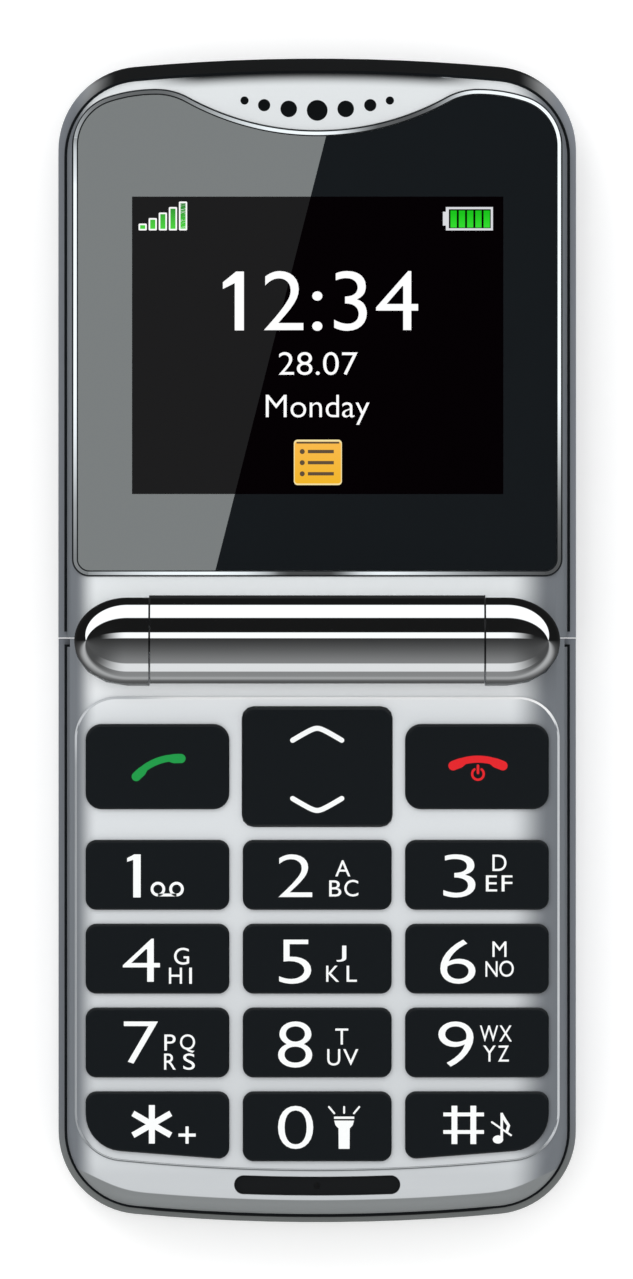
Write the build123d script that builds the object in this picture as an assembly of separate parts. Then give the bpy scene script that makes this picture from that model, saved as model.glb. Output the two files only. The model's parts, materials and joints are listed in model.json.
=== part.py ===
"""Clamshell mobile phone with large keys, opened flat and lying on its back.

Millimetres. X is the width, +Y runs from the hinge to the top of the lid, -Y from the hinge to the foot of the
base, +Z is the side with the keys and the display. The origin is the middle of the surface that the phone lies
on, so the hinge axis passes above it, parallel to X.
"""
import os
from math import asin, atan2, cos, degrees, pi, radians, sin, sqrt, tan

from build123d import *

# ---- Driving dimensions -------------------------------------------------------------------------------------------

# Whole phone
body_width = 55.5            # widest, at the rear casings
half_length = 62.4           # hinge axis to the outer end of either half
corner_radius = 9.0
end_bulge_radius = 215.0     # the outer ends are shallow arcs
base_thickness = 11.2
lid_thickness = 7.6
closed_gap = 1.5             # between the two front faces of the folded phone
seam_offset = 0.27           # the halves meet this far on the lid's side of the axis
seam_gap = 0.1               # between the two end walls in the open position

# Casings
front_inset = 0.97           # front casing stands in from the rear casing
lid_end_step = 0.65          # at the lid's outer end the front casing stands in by this much more
gasket_inset = 0.64
gasket_thickness = 0.4
gasket_width = 1.3
base_split_z = 4.4           # rear casing of the base ends here
lid_split_depth = 4.6        # front casing of the lid is this deep
front_round = 2.4
base_back_round = 3.8
lid_back_round = 2.4
back_end_bevel = 0.8         # along the hinge end of the rear casings
nick_depth = 0.3             # nick in each side of the base at the hinge
nick_length = 0.9
rounding_steps = 3           # bands that make up a rounded edge
side_wall = 1.3
front_plate = 1.2
back_plate = 1.2
fit_gap = 0.05               # between fixed pieces that sit in each other
air_gap = 0.3                # between pieces that pass each other

# Keypad
plateau_step = 0.25
plateau_margin_side = 1.95   # body's side to the raised field
plateau_margin_end = 5.74
plateau_top_y = -6.17
plateau_arc_radius = 210.0
plateau_top_corner = 4.3
plateau_bottom_corner = 5.15
key_margin_side = 1.03       # raised field's side to the keys
key_margin_end = 0.94
key_rows_top_y = -7.15
key_space_x = 1.47           # from key to key
key_space_y = 1.51
middle_key_extra = 0.55      # middle column is this much wider
rocker_share = 1.7           # heights as shares of a number key's height
call_key_share = 1.22
number_rows = 4
key_corner = 1.15
corner_steps = 3             # chords that make up a rounded corner
call_key_corner = 1.7
bottom_key_corner = 4.0      # outer lower corner of the star and hash keys
bottom_key_arc = 225.0
key_proud = 0.5              # above the raised field
key_edge = 0.22
key_gap = 0.13               # round a key in its opening
key_flange = 0.5             # width of the rim that holds a key under the casing
key_flange_thickness = 0.55
key_travel = 0.35
rocker_play = 0.25           # the rocker's rim hangs this far below the others, so that it can tilt
rocker_rim = 0.4

# Microphone slot and charging socket
mic_slot_half_width = 8.9
mic_slot_height = 2.04
mic_slot_margin = 4.0        # middle of the slot to the end of the base
mic_slot_depth = 0.7
mic_radius = 1.5
usb_width = 7.6
usb_height = 2.3
usb_length = 5.2
usb_recess = 0.4
usb_shell = 0.35             # sheet of the socket's frame
usb_floor = 0.6

# Boards, mat and domes
mat_web = 0.3
mat_pad = 0.3
mat_pad_margin = 1.6
dome_radius = 2.2
dome_height = 0.25
dome_top_radius = 0.9
dome_sides = 8
board_thickness = 0.8
board_margin = 0.6           # board edge to casing wall
shield_height = 1.05

# Battery bay and its door
bay_margin_side = 10.35      # body's side to the bay
bay_margin_end = 8.0
bay_top_y = -15.4
bay_wall = 0.9
bay_roof = 0.6
battery_gap = 0.25
battery_corner = 0.8
door_margin_side = 5.85      # body's side to the door
door_top_y = -12.6
door_thickness = 1.0
door_ledge = 1.1
door_gap = 0.12
door_rail = 0.6
thumb_groove_count = 3
thumb_groove_pitch = 1.6
thumb_groove_radius = 0.45
thumb_groove_half = 5.0

# Screws
screw_radius = 0.7
screw_head_radius = 1.3
screw_head_height = 0.7
base_screw_length = 5.0
lid_screw_length = 3.9
post_sides = 10
boss_radius = 2.0
lid_boss_radius = 1.6
base_screw_margin_end = 5.4
lid_screw_low_y = 10.6
lid_screw_dip = 3.97         # upper screws below the dip of the lens

# Hinge
barrel_radius = 4.6
barrel_margin_side = 1.75    # body's side to the barrel's tips
end_knuckle_length = 8.0
knuckle_gap = 0.12           # between the knuckles along the axis
bullet_length = 5.7          # of the rounded tip
bullet_steps = 4             # cone bands that make up the rounded tip
barrel_bore_radius = 2.55
channel_wall = 1.0
foot_width = 2.4
foot_length = 5.0
foot_height = 1.6
shaft_radius = 1.2
running_gap = 0.05
shaft_head = 3.4             # square end that drives the lid
module_length = 11.5
bushing_bore_radius = 1.6
bushing_length = 7.0
roll_outer_radius = 1.45
roll_inner_radius = 1.0
flex_thickness = 0.2
flex_width_base = 6.0
flex_width_lid = 2.8
flex_slot_height = 1.8
flex_lap = 1.5               # how far it lies over its board
flex_lift = 0.2              # its middle above the board
flex_bend_y = 3.5            # where it turns up into the barrel

# Display and its trim
lens_margin_side = 2.15      # body's side to the lens
lens_margin_end = 8.43       # lid's end to the dip of the wave along the top of the lens
lens_bottom_y = 7.51
lens_bottom_corner = 1.23
lens_proud = 0.15
lens_thickness = 1.45
wave_dip_radius = 29.2
wave_hump_radius = 6.5
wave_shoulder_radius = 16.1
wave_corner_radius = 4.9
wave_shoulder_turn = 18.0    # degrees
trim_width = 0.62
trim_proud = 0.28
lens_shelf = 0.7
display_margin_side = 5.8    # lens's side to the lit area
display_aspect = 0.8         # height to width
display_rise = 0.86          # its middle above the middle of the lens
display_window_margin = 0.6
lcd_border_side = 2.0
lcd_border_top = 2.2
lcd_border_bottom = 4.4
lcd_thickness = 2.1
lid_board_foot = 3.9         # of the lid's board below the display
earpiece_hole_radii = (1.09, 0.87, 0.64, 0.43)
earpiece_hole_pitches = (0.0, 3.05, 2.63, 2.1)
earpiece_hole_rise = 2.78    # above the edge of the lens
mesh_thickness = 0.2
mesh_width = 18.5
receiver_width = 12.0
receiver_depth = 4.4
receiver_height = 2.3
torch_radius = 1.1
torch_share = 0.25           # of the body's width, from the middle
torch_depth = 2.0
magnet_width = 6.0
magnet_depth = 2.4

magnet_height = 1.5

# Small parts in the base
speaker_width = 16.0
speaker_length = 8.4
speaker_height = 2.6
speaker_corner = 1.5
speaker_y = -7.2
speaker_slot_count = 5
speaker_slot_pitch = 2.4
speaker_slot_width = 0.9
speaker_slot_length = 5.0
motor_radius = 2.0
motor_length = 8.0
motor_margin_side = 10.75    # body's side to the motor's middle
motor_shaft_radius = 0.4
weight_radius = 1.8          # half-round weight that shakes the phone
weight_length = 2.2
weight_gap = 0.4
contact_half_width = 4.5
contact_depth = 2.2
sim_width = 15.6
sim_length = 14.0
sim_margin = 7.6             # bay's hinge end to the holder
antenna_thickness = 1.0
antenna_height = 3.0
antenna_inset = 1.2

# ---- Levels and lines worked out from them ------------------------------------------------------------------------

half_width = body_width / 2
plateau_half_width = half_width - plateau_margin_side
plateau_bottom_y = plateau_margin_end - half_length
bay_half_width = half_width - bay_margin_side
bay_bottom_y = bay_margin_end - half_length
door_half_width = half_width - door_margin_side
base_screw_bottom_y = base_screw_margin_end - half_length
mic_slot_y = mic_slot_margin - half_length
barrel_half_length = half_width - barrel_margin_side
knuckle_half_length = barrel_half_length - end_knuckle_length
lens_half_width = half_width - lens_margin_side
lens_dip_y = half_length - lens_margin_end
display_width = 2 * (lens_half_width - display_margin_side)
display_height = display_aspect * display_width
display_centre_y = (lens_bottom_y + lens_dip_y) / 2 + display_rise
lid_screw_high_y = lens_dip_y - lid_screw_dip
torch_x = torch_share * body_width
motor_x = half_width - motor_margin_side
sim_y = bay_top_y - sim_margin - sim_length / 2

keys_width = 2 * (plateau_half_width - key_margin_side)
keys_height = key_rows_top_y - plateau_bottom_y - key_margin_end
key_width_side = (keys_width - 2 * key_space_x - middle_key_extra) / 3
key_width_middle = key_width_side + middle_key_extra
key_pitch_x = key_space_x + (key_width_side + key_width_middle) / 2
key_height = (keys_height - number_rows * key_space_y) / (number_rows + rocker_share)
key_pitch_y = key_height + key_space_y
rocker_height = rocker_share * key_height
call_key_height = call_key_share * key_height
control_row_y = key_rows_top_y - rocker_height / 2
first_row_y = control_row_y - rocker_height / 2 - key_space_y - key_height / 2

front_z = base_thickness
hinge_z = front_z + closed_gap / 2
lid_back_z = front_z - lid_thickness
base_front_bottom_z = base_split_z + gasket_thickness
lid_front_bottom_z = front_z - lid_split_depth
lid_split_z = lid_front_bottom_z - gasket_thickness
plate_under_z = front_z - front_plate

base_edge = seam_offset - seam_gap / 2
lid_edge = seam_offset + seam_gap / 2
inner_inset = front_inset + side_wall

flange_top_z = plate_under_z - fit_gap
flange_bottom_z = flange_top_z - key_flange_thickness
key_top_z = front_z + plateau_step + key_proud
pad_top_z = flange_bottom_z - key_travel - 2 * fit_gap
web_top_z = pad_top_z - mat_pad
mat_bottom_z = web_top_z - mat_web
dome_top_z = mat_bottom_z - fit_gap
board_top_z = dome_top_z - dome_height
board_bottom_z = board_top_z - board_thickness
shield_bottom_z = board_bottom_z - shield_height
bay_top_z = shield_bottom_z - fit_gap
battery_top_z = bay_top_z - bay_roof - battery_gap
ledge_bottom_z = door_thickness + fit_gap
ledge_top_z = ledge_bottom_z + door_ledge

channel_radius = barrel_radius + air_gap
shelf_top_z = front_z + lens_proud - lens_thickness - fit_gap
shelf_bottom_z = shelf_top_z - lens_shelf
lcd_top_z = shelf_bottom_z - fit_gap
lcd_bottom_z = lcd_top_z - lcd_thickness
lid_board_top_z = lcd_bottom_z - fit_gap
lid_board_bottom_z = lid_board_top_z - board_thickness

base_screw_x = bay_half_width + bay_wall + boss_radius + 2 * fit_gap
base_screw_top_y = (control_row_y - call_key_height / 2 + first_row_y + key_height / 2) / 2
lcd_x = display_width / 2 + lcd_border_side
lid_screw_x = lcd_x + lid_boss_radius + 2 * fit_gap

lcd_low_y = display_centre_y - display_height / 2 - lcd_border_bottom
lcd_high_y = display_centre_y + display_height / 2 + lcd_border_top
lid_board_low_y = lcd_low_y - lid_board_foot

flex_lid_x = barrel_half_length - bullet_length / 2 - flex_width_lid - 4 * fit_gap
bushing_end_x = flex_lid_x - 4 * fit_gap
bushing_start_x = bushing_end_x - bushing_length
flex_x = bushing_start_x - fit_gap - flex_width_base

parts = {}


# ---- Shared forms -------------------------------------------------------------------------------------------------

def half_outline(inset, edge, end_step=0.0):
    """Plan of one half, hinge side straight at y = edge, outer end bulged towards +Y, all sides in by inset.

    The outer end stands in by end_step more.
    """
    side_x = half_width - inset
    end_y = half_length - inset - end_step
    bulge = end_bulge_radius - inset
    corner_y = end_y - bulge + sqrt(bulge**2 - side_x**2)
    sides = Polyline((-side_x, corner_y), (-side_x, edge), (side_x, edge), (side_x, corner_y))
    end = ThreePointArc((side_x, corner_y), (0, end_y), (-side_x, corner_y))
    face = make_face(sides + end)
    return fillet(face.vertices().group_by(Axis.Y)[-1], corner_radius - inset)


def slab(face, bottom, top):
    """A flat figure made solid between two levels."""
    return Pos(0, 0, bottom) * extrude(face, top - bottom, dir=(0, 0, 1))


def block(x0, x1, y0, y1, z0, z1):
    """A box given by its sides."""
    centre = ((x0 + x1) / 2, (y0 + y1) / 2, (z0 + z1) / 2)
    return Pos(*centre) * Box(x1 - x0, y1 - y0, z1 - z0)


def rod_x(radius, x0, x1, y=0.0, z=hinge_z):
    """A round bar along X, on the hinge axis unless another line is given."""
    return Pos((x0 + x1) / 2, y, z) * Rot(0, 90, 0) * Cylinder(radius, x1 - x0)


def post(radius, x, y, z0, z1):
    """A bar along Z, close to round: screws and screw posts are many, so each has few sides."""
    return Pos(x, y, z0) * extrude(RegularPolygon(radius, post_sides), z1 - z0)


def softened(corners, radii):
    """A polygon whose corners are rounded to their own radii, in corner_steps chords each."""
    points = []
    for number, corner in enumerate(corners):
        here = Vector(*corner)
        back = (Vector(*corners[number - 1]) - here).normalized()
        ahead = (Vector(*corners[(number + 1) % len(corners)]) - here).normalized()
        half_angle = radians(back.get_angle(ahead)) / 2
        middle = here + (back + ahead).normalized() * (radii[number] / sin(half_angle))
        first = here + back * (radii[number] / tan(half_angle)) - middle
        turn = degrees(pi - 2 * half_angle)
        for step in range(corner_steps + 1):
            points.append(middle + first.rotate(Axis.Z, turn * step / corner_steps))
    return make_face(Polyline(*points, close=True))


def grown(face, amount):
    """A polygon outline made larger all round, its corners kept."""
    return offset(face, amount, kind=Kind.INTERSECTION)


def as_base(shape):
    """Turns a half that was drawn towards +Y into the base, towards -Y."""
    return Rot(0, 0, 180) * shape


def rounded_rim(inset, edge, level, radius, side, end_step=0.0):
    """The rounded edge of a casing as a loft through a few outlines, which draw in along a quarter circle.

    The rounding starts at level and rises where side is 1, or falls where it is -1.
    """
    outlines = []
    for step in range(rounding_steps + 1):
        angle = radians(90 * step / rounding_steps)
        outline = half_outline(inset + radius * (1 - cos(angle)), edge, end_step)
        outlines.append(Pos(0, 0, level + side * radius * sin(angle)) * outline)
    return loft(outlines, ruled=True)


def front_form(edge, bottom, end_step=0.0):
    """The front casing's outer form, its edge rounded on the three free sides."""
    straight = slab(half_outline(front_inset, edge, end_step), bottom, front_z - front_round)
    return straight + rounded_rim(front_inset, edge, front_z - front_round, front_round, 1, end_step)


def rear_form(edge, back, top, rounding):
    """The rear casing's outer form: rounded to the back on three sides, bevelled along the hinge end."""
    form = slab(half_outline(0, edge), back + rounding, top)
    form += rounded_rim(0, edge, back + rounding, rounding, -1)
    wedge = Pos(0, edge, back) * Rot(45, 0, 0) * Box(body_width, back_end_bevel * sqrt(2), back_end_bevel * sqrt(2))
    return form - wedge


def bullet_profile(grow):
    """Half section of one end knuckle, made larger all round by grow; its tip is part of an ellipse."""
    start = knuckle_half_length + knuckle_gap / 2 - (knuckle_gap if grow else 0)
    shoulder = barrel_half_length - bullet_length
    points = [(start, 0), (start, barrel_radius + grow)]
    for step in range(bullet_steps + 1):
        angle = radians(90 * step / bullet_steps)
        points.append((shoulder + (bullet_length + grow) * sin(angle), (barrel_radius + grow) * cos(angle)))
    return make_face(Polyline(*points, close=True))


def bullet(grow):
    """One end knuckle on the +X side, as a solid of revolution about the hinge axis."""
    return Pos(0, 0, hinge_z) * revolve(bullet_profile(grow), Axis.X)


def bullet_row(grow):
    """Both end knuckles."""
    right = bullet(grow)
    return right + mirror(right, Plane.YZ)


def screw(x, y, seat_z, end_z):
    """A flat-headed screw whose head rests on seat_z and whose shank ends at end_z, above or below."""
    head_z = seat_z - screw_head_height if end_z > seat_z else seat_z + screw_head_height
    head = post(screw_head_radius, x, y, min(head_z, seat_z), max(head_z, seat_z))
    return head + post(screw_radius, x, y, min(seat_z, end_z), max(seat_z, end_z))


# ---- Keys: outlines shared with the casing, the mat and the domes --------------------------------------------------

def rounded_box(width, height, corner, x, y):
    """A rounded rectangle with its middle at x, y."""
    corners = [(x - width / 2, y - height / 2), (x + width / 2, y - height / 2),
               (x + width / 2, y + height / 2), (x - width / 2, y + height / 2)]
    return softened(corners, [corner] * 4)


def bottom_key(width, x, y, outer_side):
    """A key of the last row: its foot slants up along a wide arc and its outer lower corner is large."""
    inner_x = x - outer_side * width / 2
    outer_x = x + outer_side * width / 2
    foot_y = y - key_height / 2
    corners = [(inner_x, foot_y + arc_rise(inner_x, bottom_key_arc)),
               (outer_x, foot_y + arc_rise(outer_x, bottom_key_arc)),
               (outer_x, y + key_height / 2), (inner_x, y + key_height / 2)]
    radii = [key_corner, bottom_key_corner, key_corner, key_corner]
    if outer_side < 0:
        return softened(corners[::-1], radii[::-1])
    return softened(corners, radii)


def arc_rise(x, radius):
    """How far a wide arc has risen at a distance x from its lowest point."""
    return radius - sqrt(radius**2 - x**2)


def key_layout():
    """Outline and centre of every key, by name."""
    keys = {
        "call": (rounded_box(key_width_side, call_key_height, call_key_corner, -key_pitch_x, control_row_y),
                 (-key_pitch_x, control_row_y)),
        "nav": (rounded_box(key_width_middle, rocker_height, key_corner, 0, control_row_y), (0, control_row_y)),
        "end": (rounded_box(key_width_side, call_key_height, call_key_corner, key_pitch_x, control_row_y),
                (key_pitch_x, control_row_y)),
    }
    for number in range(3 * (number_rows - 1)):
        row, column = divmod(number, 3)
        x = (column - 1) * key_pitch_x
        y = first_row_y - row * key_pitch_y
        width = key_width_middle if column == 1 else key_width_side
        keys[str(number + 1)] = (rounded_box(width, key_height, key_corner, x, y), (x, y))
    y = first_row_y - (number_rows - 1) * key_pitch_y
    keys["star"] = (bottom_key(key_width_side, -key_pitch_x, y, -1), (-key_pitch_x, y))
    keys["0"] = (rounded_box(key_width_middle, key_height, key_corner, 0, y), (0, y))
    keys["hash"] = (bottom_key(key_width_side, key_pitch_x, y, 1), (key_pitch_x, y))
    return keys


keys = key_layout()


def rim_outline(face, width):
    """The square-cornered rim round a key's foot."""
    box = face.bounding_box()
    return Pos(box.center().X, box.center().Y) * Rectangle(box.size.X + 2 * width, box.size.Y + 2 * width)


def key_solid(face, rim_top, rim_thickness):
    """A key cap with a bevelled edge, standing on the rim that holds it under the casing."""
    cap = slab(face, rim_top, key_top_z - key_edge)
    cap += Pos(0, 0, key_top_z - key_edge) * extrude(face, key_edge, dir=(0, 0, 1), taper=45)
    return cap + slab(rim_outline(face, key_flange), rim_top - rim_thickness, rim_top)


for name, (face, centre) in keys.items():
    parts["key_" + name] = key_solid(face, flange_top_z, key_flange_thickness)
parts["key_nav"] = key_solid(keys["nav"][0], flange_top_z - rocker_play, rocker_rim)


# ---- Base: front casing -------------------------------------------------------------------------------------------

def plateau_outline():
    """The raised field of the keypad: square to the hinge, bowed at the foot."""
    disc = Pos(0, plateau_bottom_y + plateau_arc_radius) * Circle(plateau_arc_radius)
    height = plateau_top_y - plateau_bottom_y
    middle = (plateau_top_y + plateau_bottom_y) / 2
    face = (Pos(0, middle) * Rectangle(2 * plateau_half_width, height)) & disc
    face = fillet(face.vertices().group_by(Axis.Y)[-1], plateau_top_corner)
    ends = [v for v in face.vertices() if v.Y < middle]
    return fillet(ends, plateau_bottom_corner)


def mic_slot_face(grow):
    """The microphone slot, bowed like the end of the base."""
    radius = end_bulge_radius - (half_length + mic_slot_y)
    half_angle = degrees(asin((mic_slot_half_width - mic_slot_height / 2) / radius))
    arc = CenterArc((0, mic_slot_y + radius), radius, 270 - half_angle, 2 * half_angle)
    return SlotArc(arc, mic_slot_height + 2 * grow)


def base_bosses(radius, bottom, top):
    """The four screw posts of the base, or the holes for them."""
    places = [(x, y) for x in (-base_screw_x, base_screw_x) for y in (base_screw_top_y, base_screw_bottom_y)]
    return [post(radius, x, y, bottom, top) for x, y in places]


boss_bottom = 0.5            # spare depth of a screw's hole
base_screw_seat_z = ledge_bottom_z + screw_head_height
base_screw_end_z = base_screw_seat_z + base_screw_length


def side_nicks():
    """A nick in each side at the hinge, for the tool that parts the casings."""
    side_x = half_width - front_inset
    return [block(side * side_x - nick_depth, side * side_x + nick_depth, base_edge - nick_length, base_edge,
                  base_front_bottom_z, front_z) for side in (-1, 1)]


def base_front_cover():
    """Moulded shell with the key openings, the raised field, the barrel's trough and four screw posts."""
    form = as_base(front_form(-base_edge, base_front_bottom_z))
    raised = Pos(0, 0, plateau_step) * form
    form += raised & slab(plateau_outline(), base_front_bottom_z, front_z + 2 * plateau_step)
    cavity_outline = half_outline(inner_inset, side_wall - base_edge)
    cavity = as_base(slab(cavity_outline, base_front_bottom_z, plate_under_z))
    trough_wall = rod_x(channel_radius + channel_wall, -body_width / 2, body_width / 2)
    shell = form - (cavity - trough_wall)
    shell -= rod_x(barrel_radius + fit_gap, -knuckle_half_length, knuckle_half_length)
    shell -= bullet_row(air_gap)
    shell -= foot(-1, fit_gap)
    shell += base_bosses(boss_radius, base_front_bottom_z, plate_under_z)
    shell -= base_bosses(screw_radius + running_gap / 2, base_front_bottom_z, base_screw_end_z + boss_bottom)
    for face, centre in keys.values():
        shell -= slab(grown(face, key_gap), flange_bottom_z, key_top_z)
        shell -= slab(rim_outline(face, key_flange + key_gap), flange_bottom_z - key_travel, plate_under_z)
    shell -= slab(mic_slot_face(0), front_z - mic_slot_depth, key_top_z)
    shell -= post(mic_radius / 2, 0, mic_slot_y, plate_under_z, front_z)
    shell -= usb_opening()
    shell -= side_nicks()
    shell -= flex_slot(flex_x, flex_width_base, -1, board_top_z, False)
    return shell


def foot(side, grow):
    """The tongue under the centre knuckle (side -1, base) that keys it to the casing."""
    y = side * foot_width
    bottom = hinge_z - barrel_radius
    return block(-foot_length - grow, foot_length + grow, y - foot_width / 2 - grow, y + foot_width / 2 + grow,
                 bottom - grow, bottom + foot_height)


def cap_foot(side, grow):
    """The tongue under an end knuckle that keys it to the lid's casing; side is the sign of X."""
    x = side * (knuckle_half_length + foot_width)
    bottom = hinge_z - barrel_radius
    return block(x - foot_width / 2 - grow, x + foot_width / 2 + grow, foot_width / 2 - grow,
                 3 * foot_width / 2 + grow, bottom - grow, bottom + foot_height)


def usb_opening():
    """The cut for the charging socket, at the foot of the base, just above the seam."""
    return block(-usb_width / 2 - fit_gap, usb_width / 2 + fit_gap, -half_length, -half_length + 2 * inner_inset,
                 base_front_bottom_z, base_front_bottom_z + usb_height + 2 * fit_gap)


def flex_slot(x, width, side, level, tall):
    """The cut that lets the flex cable through the trough's wall and, where tall, on into the barrel's bore."""
    outer = side * (channel_radius + 2 * channel_wall)
    inner = side * roll_outer_radius / 2
    top = hinge_z - roll_outer_radius / 2 if tall else level + flex_slot_height
    if tall:
        outer = side * barrel_radius
    return block(x - 2 * fit_gap, x + width + 2 * fit_gap, min(inner, outer), max(inner, outer), level - fit_gap, top)


parts["base_front_cover"] = base_front_cover()


# ---- Base: seam gasket, rear casing, battery door -----------------------------------------------------------------

def seam_gasket(edge, bottom, end_step=0.0):
    """The soft dark ring that fills the seam between two casings."""
    ring = half_outline(gasket_inset, edge + gasket_inset, end_step)
    hole = half_outline(gasket_inset + gasket_width, edge + gasket_inset + gasket_width, end_step)
    return slab(ring - hole, bottom, bottom + gasket_thickness)


parts["base_seam_gasket"] = as_base(seam_gasket(-base_edge, base_split_z))


def door_form(gap, back_form):
    """The door's plate: the back skin of the base from its top edge to the foot, with a rail on each side."""
    plate = block(-door_half_width - gap, door_half_width + gap, -2 * half_length, door_top_y + gap,
                  -gap, door_thickness + min(gap, fit_gap))
    rails = block(-door_half_width - door_rail - gap, door_half_width + door_rail + gap, -2 * half_length,
                  door_top_y - door_rail + gap, door_thickness / 2 - min(gap, fit_gap),
                  door_thickness + min(gap, fit_gap))
    if back_form is None:
        return plate + rails
    return (plate + rails) & back_form


def thumb_grooves():
    """Shallow grip grooves across the door."""
    first_y = door_top_y - 3 * thumb_groove_pitch
    lines = []
    for number in range(thumb_groove_count):
        y = first_y - number * thumb_groove_pitch
        lines.append(rod_x(thumb_groove_radius, -thumb_groove_half, thumb_groove_half, y, -thumb_groove_radius / 2))
    return lines


def base_rear_cover():
    """Moulded tray with the battery bay, the door's recess and rails, screw posts and the loudspeaker's slots."""
    form = as_base(rear_form(-base_edge, 0, base_split_z, base_back_round))
    cavity_outline = half_outline(side_wall + gasket_inset, side_wall - base_edge)
    inside = as_base(slab(cavity_outline, ledge_top_z, base_split_z))
    upper = slab(Pos(0, (bay_top_y + bay_bottom_y) / 2)
                 * Rectangle(2 * (bay_half_width + bay_wall), bay_top_y - bay_bottom_y + 2 * bay_wall),
                 ledge_bottom_z, bay_top_z)
    shell = form - inside + upper
    shell -= block(-bay_half_width, bay_half_width, bay_bottom_y, bay_top_y, 0, bay_top_z - bay_roof)
    shell += base_bosses(boss_radius, ledge_bottom_z, base_split_z + gasket_thickness - fit_gap)
    shell -= door_form(door_gap, None)
    shell -= base_bosses(screw_head_radius + 2 * fit_gap, 0, base_screw_seat_z)
    shell -= base_bosses(screw_radius + 2 * fit_gap, 0, base_front_bottom_z)
    for number in range(speaker_slot_count):
        x = (number - (speaker_slot_count - 1) / 2) * speaker_slot_pitch
        slot = rounded_box(speaker_slot_width, speaker_slot_length, speaker_slot_width / 2.1, x, speaker_y)
        shell -= slab(slot, 0, ledge_top_z)
    shell -= contact_space()
    shell -= sim_window(2 * fit_gap)
    return shell


def contact_space():
    """The cut in the bay's end wall for the contact block."""
    return block(-contact_half_width - fit_gap, contact_half_width + fit_gap, bay_top_y - fit_gap,
                 bay_top_y + bay_wall + fit_gap, ledge_top_z, bay_top_z)


def sim_window(grow):
    """The cut in the bay's roof where the SIM holder shows."""
    return block(-sim_width / 2 - grow, sim_width / 2 + grow, sim_y - sim_length / 2 - grow,
                 sim_y + sim_length / 2 + grow, bay_top_z - bay_roof, bay_top_z)


parts["base_rear_cover"] = base_rear_cover()

base_back_form = as_base(rear_form(-base_edge, 0, base_split_z, base_back_round))
parts["battery_door"] = door_form(0, base_back_form) - thumb_grooves()
parts["battery"] = block(-bay_half_width + battery_gap, bay_half_width - battery_gap, bay_bottom_y + battery_gap,
                         bay_top_y - battery_gap, ledge_bottom_z, battery_top_z)
parts["battery"] = chamfer(parts["battery"].edges().filter_by(Axis.Z), battery_corner)
parts["base_screws"] = [screw(x, y, base_screw_seat_z, base_screw_end_z) for x in (-base_screw_x, base_screw_x)
                        for y in (base_screw_top_y, base_screw_bottom_y)]


# ---- Base: keypad mat, domes, boards and small parts --------------------------------------------------------------

def board_outline(margin):
    """The main board: inside the casing walls, clear of the trough and the screw posts."""
    outline = half_outline(inner_inset + margin, channel_radius + channel_wall + margin)
    return as_base(outline)


def keypad_mat():
    """Silicone sheet with a pad under every key."""
    sheet = slab(board_outline(2 * board_margin), mat_bottom_z, web_top_z)
    for face, centre in keys.values():
        sheet += slab(rim_outline(face, -mat_pad_margin), web_top_z, pad_top_z)
    sheet -= post(mic_radius + air_gap, 0, mic_slot_y, mat_bottom_z, pad_top_z)
    return sheet - base_bosses(boss_radius + air_gap, mat_bottom_z, pad_top_z)


def dome_places():
    """One dome under each key, two under the rocker."""
    places = [centre for name, (face, centre) in keys.items() if name != "nav"]
    return places + [(0, control_row_y + rocker_height / 4), (0, control_row_y - rocker_height / 4)]


def main_board():
    """Circuit board with holes for the screw posts."""
    board = slab(board_outline(board_margin), board_bottom_z, board_top_z)
    return board - base_bosses(boss_radius + air_gap, board_bottom_z, board_top_z)


parts["keypad_mat"] = keypad_mat()
dome_taper = degrees(atan2(dome_radius - dome_top_radius, dome_height))
dome = Pos(0, 0, board_top_z) * extrude(RegularPolygon(dome_radius, dome_sides), dome_height, taper=dome_taper)
parts["dome_switches"] = [Pos(x, y, 0) * dome for x, y in dome_places()]
parts["main_board"] = main_board()
parts["shield_cans"] = [
    block(-base_screw_x + boss_radius + air_gap, -sim_width / 2 - air_gap, bay_bottom_y, sim_y + sim_length / 2,
          shield_bottom_z, board_bottom_z),
    block(sim_width / 2 + air_gap, base_screw_x - boss_radius - air_gap, bay_bottom_y, sim_y + sim_length / 2,
          shield_bottom_z, board_bottom_z),
]
parts["sim_holder"] = block(-sim_width / 2, sim_width / 2, sim_y - sim_length / 2, sim_y + sim_length / 2,
                            bay_top_z - bay_roof, board_bottom_z)
parts["battery_contacts"] = block(-contact_half_width, contact_half_width, bay_top_y, bay_top_y + contact_depth,
                                  ledge_top_z + fit_gap, board_bottom_z)
usb_front_y = -half_length + front_inset + usb_recess
parts["usb_socket"] = block(-usb_width / 2, usb_width / 2, usb_front_y, usb_front_y + usb_length,
                            base_front_bottom_z + fit_gap, base_front_bottom_z + fit_gap + usb_height)
parts["usb_socket"] -= block(-usb_width / 2 + usb_shell, usb_width / 2 - usb_shell,
                             usb_front_y, usb_front_y + usb_length - usb_floor,
                             base_front_bottom_z + fit_gap + usb_shell,
                             base_front_bottom_z + fit_gap + usb_height - usb_shell)
parts["mic_insert"] = slab(mic_slot_face(-fit_gap), front_z - mic_slot_depth, front_z - mic_slot_depth / 2)
parts["mic_insert"] -= post(mic_radius / 4, 0, mic_slot_y, front_z - mic_slot_depth, front_z)
parts["microphone"] = post(mic_radius, 0, mic_slot_y, board_top_z, plate_under_z - fit_gap)
parts["loudspeaker"] = slab(rounded_box(speaker_width, speaker_length, speaker_corner, 0, speaker_y),
                            ledge_top_z + fit_gap, ledge_top_z + fit_gap + speaker_height)
motor_z = ledge_top_z + motor_radius + fit_gap
motor = rod_x(motor_radius, motor_x - motor_length / 2, motor_x + motor_length / 2, speaker_y, motor_z)
weight_x = motor_x - motor_length / 2 - weight_gap - weight_length
weight = rod_x(weight_radius, weight_x, weight_x + weight_length, speaker_y, motor_z)
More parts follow.
